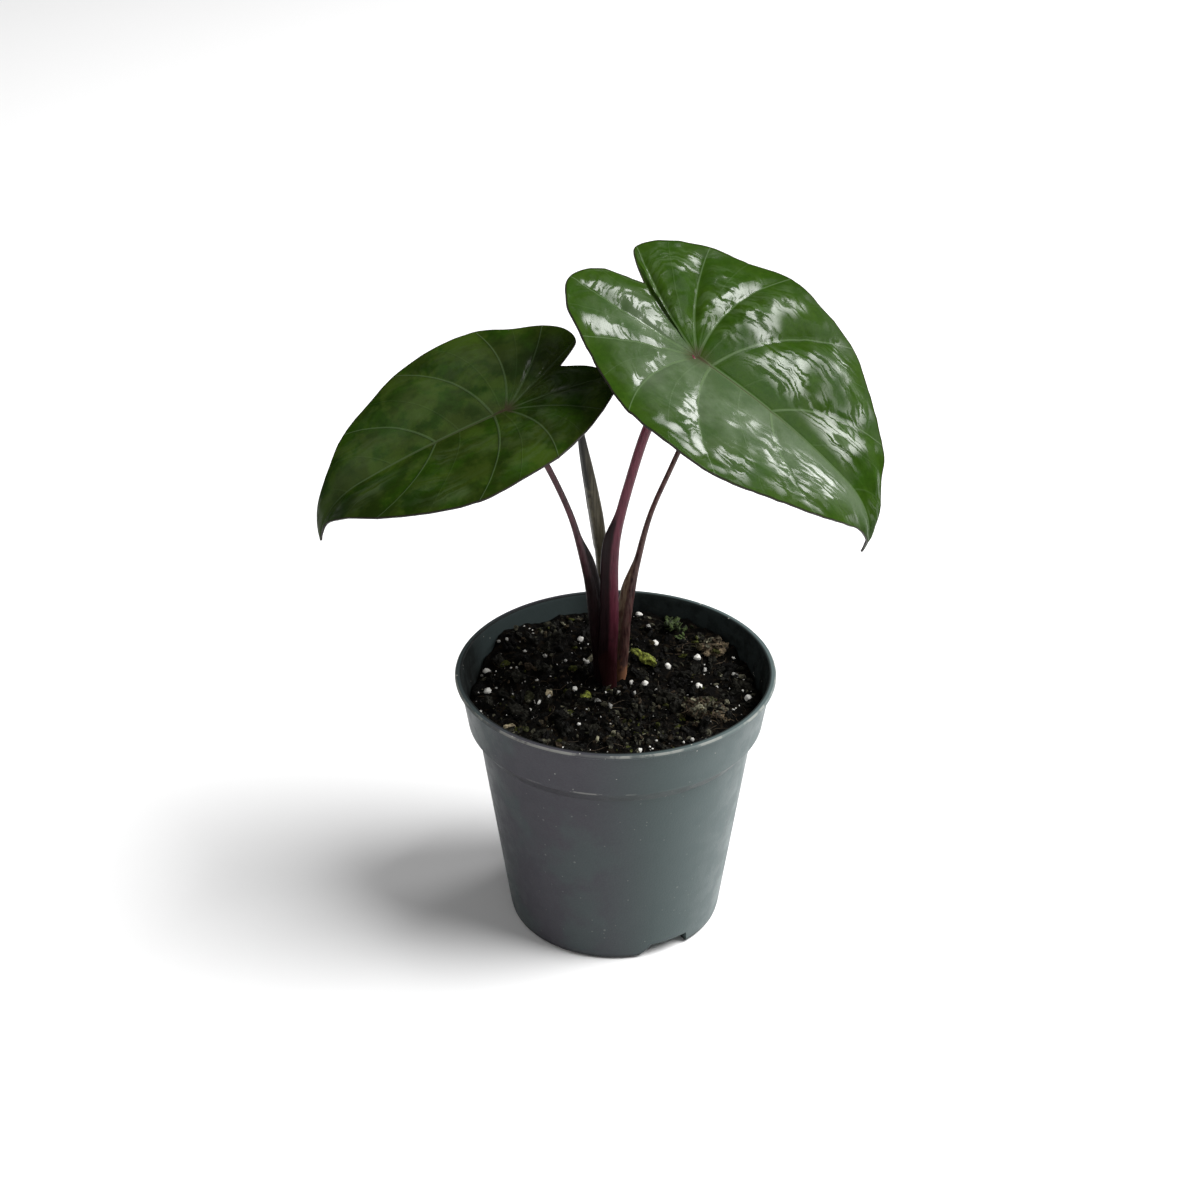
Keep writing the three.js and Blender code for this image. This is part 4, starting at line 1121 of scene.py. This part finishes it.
class PLANT_OT_perlite(bpy.types.Operator):
    """Sets the white perlite grains and finer specks in the mix"""
    bl_idname = "plant.add_perlite"
    bl_label = "Perlite"

    def execute(self, context):
        settings = context.scene.alocasia_soil
        ground = Ground()
        rng = random.Random(SEED + 1)
        grains = Batches()
        for k, (x, y) in enumerate(PERLITE):
            sizes = (PERLITE_RADIUS, PERLITE_RADIUS * 0.9, PERLITE_RADIUS * 0.85)
            level = ground.height(x, y) + 0.3 * PERLITE_RADIUS
            add_toned_grain(grains.part(), 0.1, (x, y, level), sizes, (0, 0, k), 3, 0.35, k)
        for k, (x, y, radius, soiled) in enumerate(PERLITE_SPECKS):
            place = (x, y, ground.height(x, y) + radius * 0.45)
            sizes = (radius * 1.15, radius * 0.9, radius * 0.8)
            fineness = 3 if radius > 0.7 else 2
            add_toned_grain(grains.part(), soiled, place, sizes, (k, k, k), fineness, 0.4, k + 20)
        for k in range(FINE_PERLITE):
            x, y = scattered(rng, CRUMB_REACH)
            radius = rng.uniform(0.12, 0.36)
            place = (x, y, ground.height(x, y) + radius * 0.6)
            sizes = (radius * rng.uniform(0.8, 1.6), radius, radius * 0.8)
            soiled = rng.random() * 0.9
            add_toned_grain(grains.part(), soiled, place, sizes, (k, k, k), 1, 0.3, k + 60)
        nodes = [f"perlite_{k + 1}" for k in range(len(PERLITE))]
        add_piece("perlite_grains", grains.joined(), [perlite_material(settings)], nodes)
        return {"FINISHED"}


class PLANT_OT_corm(bpy.types.Operator):
    """Gives the buried corm its fibrous brown skin"""
    bl_idname = "plant.finish_corm"
    bl_label = "Corm"

    def execute(self, context):
        brown = (0.2, 0.12, 0.07), (0.06, 0.035, 0.02), 300.0, 0.9, (1, 1, 4), 0.0005
        skin = chip_material("corm_skin", *brown)
        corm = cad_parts["corm"]
        corm.data.materials.clear()
        corm.data.materials.append(skin)
        return {"FINISHED"}


# Blades

def along_arc(start, bend, distance):
    """Distances along and across an arc that starts at an angle and bends evenly."""
    end = start + bend * distance
    return (math.sin(end) - math.sin(start)) / bend, (math.cos(start) - math.cos(end)) / bend


def midrib_place(leaf, x):
    if x < 0:
        along, up = along_arc(0, -leaf["lobe_bend"], x)
        return along, up, -leaf["lobe_bend"] * x
    first = min(x, leaf["tip_start"])
    along, up = along_arc(0, -leaf["arch_bend"], first)
    angle = -leaf["arch_bend"] * first
    if x <= leaf["tip_start"]:
        return along, up, angle
    bend = -leaf["arch_bend"] - leaf["tip_bend"]
    more, drop = along_arc(angle, bend, x - first)
    return along + more, up + drop, angle + bend * (x - first)


def blade_place(leaf, x, y):
    """Flat coordinates to the blade's curved middle surface. The crease fades behind the stalk end."""
    along, up, angle = midrib_place(leaf, x)
    rise = math.radians(leaf["rise"])
    soft = 0.35 * max(0, -x)
    across = along_arc(rise, -leaf["side_bend"], abs(y))[0]
    lift = along_arc(rise, -leaf["side_bend"], math.hypot(y, soft) - soft)[1]
    return Vector((along - math.sin(angle) * lift, math.copysign(across, y), up + math.cos(angle) * lift))


def blade_normal(leaf, x, y):
    step = 0.2
    along_x = blade_place(leaf, x + step, y) - blade_place(leaf, x - step, y)
    along_y = blade_place(leaf, x, y + step) - blade_place(leaf, x, y - step)
    return along_x.cross(along_y).normalized()


def vein_point(leaf, side, station, share):
    """Flat place at a share of the way along a vein, whole stations lying on veins."""
    roots, margin = leaf["roots"], leaf["margins"][side]
    low = int(station)
    inner = roots[low] if low < len(roots) else 0
    outer = roots[low + 1] if low + 1 < len(roots) else 0
    root = Vector((inner + (outer - inner) * (station - low), 0))
    end = catmull(margin, station)
    chord = end - root
    fade = min(1, max(0, (LAST_STATION - station) / BOW_FADE)) ** 1.5
    control = root + chord * 0.5 + Vector((-chord.y, chord.x)) * side * VEIN_BOW * fade
    return root * (1 - share) ** 2 + control * 2 * share * (1 - share) + end * share ** 2


def relief_share(share):
    return smoothstep(share, 0.08, 0.62) * (1 - smoothstep(share, 0.74, 1.0))


def feather(station, share, run, side):
    """Strength and turns of the fine ridges that cross between the main veins."""
    between = abs(math.sin(math.pi * station / 2))
    drift = noise.noise(Vector((station * 1.3, share * 4.0, side * 5.0)))
    strength = smoothstep(share, 0.08, 0.3) * (1 - smoothstep(share, 0.86, 0.98))
    strength *= between ** 0.6 * min(1, station / 3) * (0.5 + 0.9 * max(0, 0.5 + drift))
    return strength * (1 if side > 0 else 0.3), run / 2.3 - 1.5 * between + 1.2 * drift


def blade_lift(leaf, station, share, flat):
    """The tissue bulges up between veins, and the margin is gently waved."""
    main = abs(math.sin(math.pi * station / 2))
    thin = math.sin(math.pi * station) ** 2
    quilt = leaf["quilt"] * relief_share(share) * (0.75 * main + 0.12 * thin) * min(1, station / 4)
    wave = leaf["wave"] * share ** 3 * math.sin(1.9 * station) * min(1, station / 3)
    bumps = noise.fractal(Vector((*flat, 0)) * 0.22, 1.0, 2.0, 3) * smoothstep(share, 0.05, 0.35)
    return quilt + wave + leaf["bumps"] * bumps


def near_lines(points, lines):
    """Distance of each point to the nearest line, as a share of the line's half width there."""
    best = np.full(len(points), 99.0)
    for line, widths in lines:
        for a, b, wide, narrow in zip(line, line[1:], widths, widths[1:]):
            step = b - a
            share = np.clip((points - a) @ step / max(step @ step, 1e-9), 0, 1)
            distance = np.linalg.norm(points - a - share[:, None] * step, axis=1)
            best = np.minimum(best, distance / (wide + (narrow - wide) * share))
    return best


def vein_lines(leaf, side, stations, root_width, end_width, count=22):
    shares = np.linspace(0, 1, count)
    return [
        (np.array([vein_point(leaf, side, k, share) for share in shares]),
         root_width + (end_width - root_width) * shares)
        for k in stations
    ]


def blade_places(leaf, flat, main_width):
    """Place of each flat point by the veins, the margin and the stalk end."""
    tip = leaf["roots"][0]
    size = tip / 88
    spine = [(np.array([(0.0, 0.0), (tip * 0.5, 0.0), (tip, 0.0)]), np.array([0.95, 0.6, 0.2]) * size)]
    main, thin, edge = [], [], []
    for side in (1, -1):
        main += vein_lines(leaf, side, MAIN_STATIONS, main_width * size, 0.22 * size)
        thin += vein_lines(leaf, side, THIN_STATIONS, 0.32 * size, 0.16 * size)
        line = np.array([catmull(leaf["margins"][side], k / 6) for k in range(LAST_STATION * 6 + 1)])
        edge.append((line, np.ones(len(line))))
    return {
        "spine": near_lines(flat, spine), "main": near_lines(flat, main), "thin": near_lines(flat, thin),
        "edge": near_lines(flat, edge), "heart": np.linalg.norm(flat, axis=1) / size,
    }


def leaf_matrix(leaf):
    """From a leaf's own millimetres, with the stalk end in the middle, to the plant's."""
    axes = (("heading", "Z"), ("droop", "Y"), ("roll", "X"))
    heading, droop, roll = (Matrix.Rotation(math.radians(leaf[name]), 4, axis) for name, axis in axes)
    return Matrix.Translation(leaf["junction"]) @ (heading @ droop @ roll)


def arched(place, edge):
    return max(0, 1 - (place / edge) ** 2)


def rib_depth(leaf, settings, x, share, values):
    """How far the veins stand out under the blade, in millimetres."""
    taper = min(1, max(0.1, 1.05 - x / leaf["roots"][0]))
    spine = 1.0 * taper * arched(values["spine"], 1.5)
    main = settings.rib_depth / MM * (1 - 0.75 * share) * arched(values["main"], 1.4)
    return max(spine, main, 0.12 * (1 - share) * arched(values["thin"], 1.5))


def groove_depth(leaf, x, share, values):
    """How far the veins lie sunk in the upper face, in millimetres."""
    main = VEIN_GROOVE * max(0, 1 - values["main"] / 1.6) * (1 - share)
    sunk = SPINE_GROOVE * smoothstep(x, 2, 9) * max(0, 1 - 1.2 * x / leaf["roots"][0])
    return main, sunk * max(0, 1 - values["spine"] / 1.6)


def blade_mesh(leaf, settings):
    """The blade as a closed sheet: upper face, under face with ribs, and the thin margin."""
    leaf["margins"] = {side: [Vector(p) for p in rows] for side, rows in leaf["halves"].items()}
    bm = bmesh.new()
    guides = ("station", "share", "hand", "upper")
    for name in (*guides, *BLADE_PLACES, *FEATHER):
        bm.verts.layers.float.new(name)
    layers = bm.verts.layers.float
    station, share, hand, upper = (layers[name] for name in guides)
    half = bm.faces.layers.int.new("half")
    for side in (1, -1):
        grid = bmesh.ops.create_grid(
            bm, x_segments=LAST_STATION * STATION_STEPS, y_segments=SHARE_STEPS, size=1)
        for v in grid["verts"]:
            v[station] = (v.co.x + 1) / 2 * LAST_STATION
            v[share] = (v.co.y + 1) / 2
            v[hand] = side
            v.co = (*vein_point(leaf, side, v[station], v[share]), 0)
        for face in {f for v in grid["verts"] for f in v.link_faces}:
            face[half] = side
    bmesh.ops.remove_doubles(bm, verts=bm.verts, dist=0.002)
    made = bmesh.ops.extrude_face_region(bm, geom=list(bm.faces), use_keep_orig=True)["geom"]
    for v in made:
        if isinstance(v, bmesh.types.BMVert):
            v[upper] = 1
    bm.verts.index_update()
    flat = np.array([v.co.xy for v in bm.verts])
    places = blade_places(leaf, flat, settings.main_width / MM)
    world = leaf_matrix(leaf)
    for v in bm.verts:
        x, y = v.co.xy
        values = {name: float(column[v.index]) for name, column in places.items()}
        for name, value in values.items():
            v[layers[name]] = value
        root = vein_point(leaf, v[hand], v[station], 0)
        run = math.dist((x, y), root)
        for name, value in zip(FEATHER, feather(v[station], v[share], run, v[hand])):
            v[layers[name]] = value
        height = blade_lift(leaf, v[station], v[share], (x, y))
        if v[upper]:
            height += UPPER_FACE
            for depth in groove_depth(leaf, x, v[share], values):
                height -= depth
        else:
            height += UPPER_FACE - settings.thickness / MM
            height -= rib_depth(leaf, settings, x, v[share], values)
        v.co = world @ (blade_place(leaf, x, y) + blade_normal(leaf, x, y) * height) * MM
    bmesh.ops.recalc_face_normals(bm, faces=bm.faces)
    uv = bm.loops.layers.uv.new("veins")
    for face in bm.faces:
        raised = sum(v[upper] for v in face.verts)
        face.material_index = 0 if raised == len(face.verts) else 1 if raised == 0 else 2
        for loop in face.loops:
            loop[uv].uv = (loop.vert[station], loop.vert[share] * face[half])
    for name in guides:
        layers.remove(layers[name])
    bm.faces.layers.int.remove(half)
    return bm


def blade_materials(finish, settings):
    """Upper face, under face and margin of a dark or a green blade."""
    tone, *look = BLADE_LOOKS[finish]
    tissue, vein = getattr(settings, finish), shade(settings.pale, tone)
    under = [v * 0.5 + w for v, w in zip(tissue, (0.03, 0.012, 0.012))]
    margin = settings.margin, shade(settings.margin, 0.5), 700.0, 0.45, PLAIN, 0.00005
    return [
        blade_material(finish + "_blade_face", tissue, vein, HEART_BROWN, settings, *look),
        blade_material(
            finish + "_blade_under", under, UNDER_WINE, UNDER_WINE, settings, 0.5, (0.8, 0.3), 0.3),
        chip_material(finish + "_blade_margin", *margin),
    ]


class PLANT_OT_blades(bpy.types.Operator):
    """Shapes the three leaf blades along their veins"""
    bl_idname = "plant.add_blades"
    bl_label = "Leaf Blades"

    def execute(self, context):
        settings = context.scene.alocasia_blades
        finishes = {finish: blade_materials(finish, settings) for finish in BLADE_LOOKS}
        for name, leaf in BLADES.items():
            bm, finish = blade_mesh(leaf, settings), leaf["finish"]
            add_piece(f"leaf_{name}", bm, finishes[finish], [f"blade_{name}"])
        return {"FINISHED"}


# Stalks

def wing_height(sheath, z):
    """Height of the sheath's wing at a height on the stalk, with rounded shoulders."""
    start = smoothstep(z, sheath["from"] - 6, sheath["from"] + 8)
    end = 1 - smoothstep(z, sheath["to"] - 14, sheath["to"])
    return sheath["height"] * start * end


def tube_mesh(line, reach_at):
    """A tube drawn ring by ring along a line. reach_at gives its reach and wing share at an angle."""
    points = [Vector(row[:3]) for row in line]
    widths = [Vector((row[3], 0)) for row in line]
    total = sum((b - a).length for a, b in zip(points, points[1:]))
    rings = round(total / STALK_STEP)
    bm = bmesh.new()
    wing = bm.verts.layers.float.new("wing")
    ring = bmesh.ops.create_circle(bm, segments=STALK_SIDES, radius=1)["verts"]
    angles = [math.atan2(v.co.y, v.co.x) for v in ring]
    edges = ring_edges(ring)
    for i in range(rings + 1):
        if i:
            edges, corners = draw_out(bm, edges)
            corners = set(corners)
            ring = [drawn_from(v, corners) for v in ring]
        place = i / rings * (len(points) - 1)
        centre = catmull(points, place)
        ahead = catmull(points, min(place + 0.01, len(points) - 1)) - catmull(points, max(place - 0.01, 0))
        ahead.normalize()
        side = (Vector((1, 0, 0)) - ahead * ahead.x).normalized()
        back = ahead.cross(side)
        radius = catmull(widths, place).x
        for v, angle in zip(ring, angles):
            reach, share = reach_at(angle, centre.z, radius)
            v[wing] = share
            v.co = (centre + side * reach * math.cos(angle) + back * reach * math.sin(angle)) * MM
    bmesh.ops.holes_fill(bm, edges=[e for e in bm.edges if e.is_boundary], sides=0)
    bmesh.ops.recalc_face_normals(bm, faces=bm.faces)
    return bm


def drawn_from(vert, corners):
    """The new corner that was drawn out of a corner of the last ring."""
    return next(other for edge in vert.link_edges if (other := edge.other_vert(vert)) in corners)


def stalk_reach(sheath):
    """Reach of a stalk: grooved, with the wing of its sheath at one side."""
    turn = math.radians(sheath["turn"])

    def reach_at(angle, z, radius):
        facing = max(0, math.cos(angle - turn))
        height = wing_height(sheath, z)
        fold = math.cos(min(abs(math.remainder(angle - turn, math.tau)) * 5, math.pi))
        grooves = 0.015 * math.cos(9 * angle + 0.03 * z) * radius
        share = smoothstep(facing, 0.3, 0.75) * min(1, height / 0.5)
        return radius + grooves + height * (facing ** 8 * 1.02 + 0.03 * fold * facing ** 4), share

    return reach_at


def rolled_reach(sheath):
    """Reach of the rolled leaf: a spiral with a step at its seam, and a low wing."""
    turn = math.radians(sheath["turn"])

    def reach_at(angle, z, radius):
        seam = turn + (z - 100) * 0.012
        roll = (math.remainder(angle - seam, math.tau) + math.pi) / math.tau
        wrap = 1 - SEAM_STEP / 2 + SEAM_STEP * roll
        facing = max(0, math.cos(angle - turn))
        height = wing_height(sheath, z)
        share = smoothstep(facing, 0.3, 0.75) * min(1, height / 0.5) * 0.6
        return radius * wrap + height * facing ** 8, share

    return reach_at


class PLANT_OT_stalks(bpy.types.Operator):
    """Draws the three leaf stalks with their sheaths, and the rolled new leaf"""
    bl_idname = "plant.add_stalks"
    bl_label = "Stalks and New Leaf"

    def execute(self, context):
        settings = context.scene.alocasia_stalks
        dark, sheath, black = settings.dark, settings.sheath, (0.003, 0.0015, 0.0015)
        skins = {
            "left": stalk_material("dark_stalk", (
                shade(dark, 1.5), black, (0.15, 0.055, 0.07), sheath, (0.012, 0.006, 0.007), black, black,
            ), (0.075, 0.142, 0.3), 0.4),
            "right": stalk_material("wine_stalk", (
                settings.wine, dark, (0.21, 0.05, 0.075), sheath, (0.01, 0.003, 0.004),
                (0.02, 0.005, 0.005), black,
            ), (0.098, 0.115, 0.3), 0.3),
            "back": stalk_material("brown_stalk", (
                (0.085, 0.03, 0.03), (0.009, 0.003, 0.003), (0.26, 0.16, 0.13), settings.paper,
                (0.1, 0.045, 0.03), (0.26, 0.12, 0.06), black,
            ), (0.092, 0.07, 0.3), 0.6),
        }
        for name, stalk in STALKS.items():
            end = leaf_matrix(BLADES[name]) @ Vector((0, 0, -STALK_END_DEPTH))
            line = [*stalk["line"], (*end, stalk["line"][-1][3] * STALK_END_SWELL)]
            bm = tube_mesh(line, stalk_reach(stalk["sheath"]))
            add_piece(f"stalk_{name}", bm, [skins[name]], [f"petiole_{name}"])
        rolled = stalk_material("rolled_blade", (
            settings.olive, (0.02, 0.016, 0.009), (0.14, 0.12, 0.08), (0.17, 0.15, 0.1),
            (0.05, 0.045, 0.03), black, (0.0035, 0.004, 0.0035),
        ), (0.1, 0.115, 0.15), 0.75)
        bm = tube_mesh(ROLLED_LEAF["line"], rolled_reach(ROLLED_LEAF["sheath"]))
        add_piece("rolled_new_leaf", bm, [rolled], ["new_leaf"])
        return {"FINISHED"}


# Floor, light and camera

class PLANT_OT_stage(bpy.types.Operator):
    """Sets up the pale floor, the soft light and the camera"""
    bl_idname = "plant.add_stage"
    bl_label = "Stage"

    def execute(self, context):
        settings = context.scene.alocasia_stage
        bm = bmesh.new()
        bmesh.ops.create_grid(bm, x_segments=2, y_segments=2, size=6)
        floor = add_object("floor", made_mesh("floor", bm))
        skin = Skin("pale_floor", 0.7, 0.2)
        patches = skin.mottle(skin.at, 3.0, 2.0, 0.4)
        tone = skin.mix(patches, settings.floor, shade(settings.floor, 0.99))
        floor.data.materials.append(skin.finish(tone))
        for name, place, size in LIGHTS:
            light = bpy.data.lights.new(name, "AREA")
            light.shape = "DISK"
            light.size = size
            light.energy = getattr(settings, name)
            holder = add_object(name, light)
            holder.location = place
            aim = Vector(MIDDLE) - Vector(place)
            holder.rotation_euler = aim.to_track_quat("-Z", "Y").to_euler()
        world = bpy.data.worlds.new("studio")
        world.use_nodes = True
        background = world.node_tree.nodes["Background"]
        background.inputs["Color"].default_value = (1, 1, 1, 1)
        background.inputs["Strength"].default_value = settings.sky
        context.scene.world = world
        context.scene.view_settings.view_transform = "Standard"
        camera = bpy.data.cameras.new("camera")
        camera.lens = CAMERA_LENS
        camera.sensor_width = CAMERA_SENSOR
        holder = add_object("camera", camera)
        holder.location = CAMERA_PLACE
        holder.rotation_euler = (math.radians(CAMERA_TILT), 0, 0)
        context.scene.camera = holder
        return {"FINISHED"}


OPERATORS = (
    PLANT_OT_pot, PLANT_OT_soil, PLANT_OT_chunks, PLANT_OT_crumbs, PLANT_OT_perlite, PLANT_OT_corm,
    PLANT_OT_blades, PLANT_OT_stalks, PLANT_OT_stage,
)
SETTINGS = {
    "alocasia_pot": PotSettings,
    "alocasia_soil": SoilSettings,
    "alocasia_blades": BladeSettings,
    "alocasia_stalks": StalkSettings,
    "alocasia_stage": StageSettings,
}


class PLANT_PT_panel(bpy.types.Panel):
    """Lists the steps that build the plant, with their sizes and colours"""
    bl_idname = "PLANT_PT_panel"
    bl_label = "Potted Alocasia"
    bl_space_type = "VIEW_3D"
    bl_region_type = "UI"
    bl_category = "Alocasia"

    def draw(self, context):
        for name in SETTINGS:
            box = self.layout.box()
            settings = getattr(context.scene, name)
            for prop in settings.bl_rna.properties:
                if prop.identifier not in {"rna_type", "name"}:
                    box.prop(settings, prop.identifier)
        for operator in OPERATORS:
            self.layout.operator(operator.bl_idname)


def register():
    for group in SETTINGS.values():
        bpy.utils.register_class(group)
    for name, group in SETTINGS.items():
        setattr(bpy.types.Scene, name, PointerProperty(type=group))
    for made in (*OPERATORS, PLANT_PT_panel):
        bpy.utils.register_class(made)


def unregister():
    for made in reversed((*OPERATORS, PLANT_PT_panel)):
        bpy.utils.unregister_class(made)
    for name, group in SETTINGS.items():
        delattr(bpy.types.Scene, name)
        bpy.utils.unregister_class(group)


def main():
    register()
    for build in (mottle_group, specks_group, blade_group, stalk_group):
        build()
    bpy.ops.plant.add_pot()
    bpy.ops.plant.add_soil()
    bpy.ops.plant.add_chunks()
    bpy.ops.plant.add_crumbs()
    bpy.ops.plant.add_perlite()
    bpy.ops.plant.finish_corm()
    bpy.ops.plant.add_blades()
    bpy.ops.plant.add_stalks()
    bpy.ops.plant.add_stage()
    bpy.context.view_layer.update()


if __name__ == "__main__":
    main()
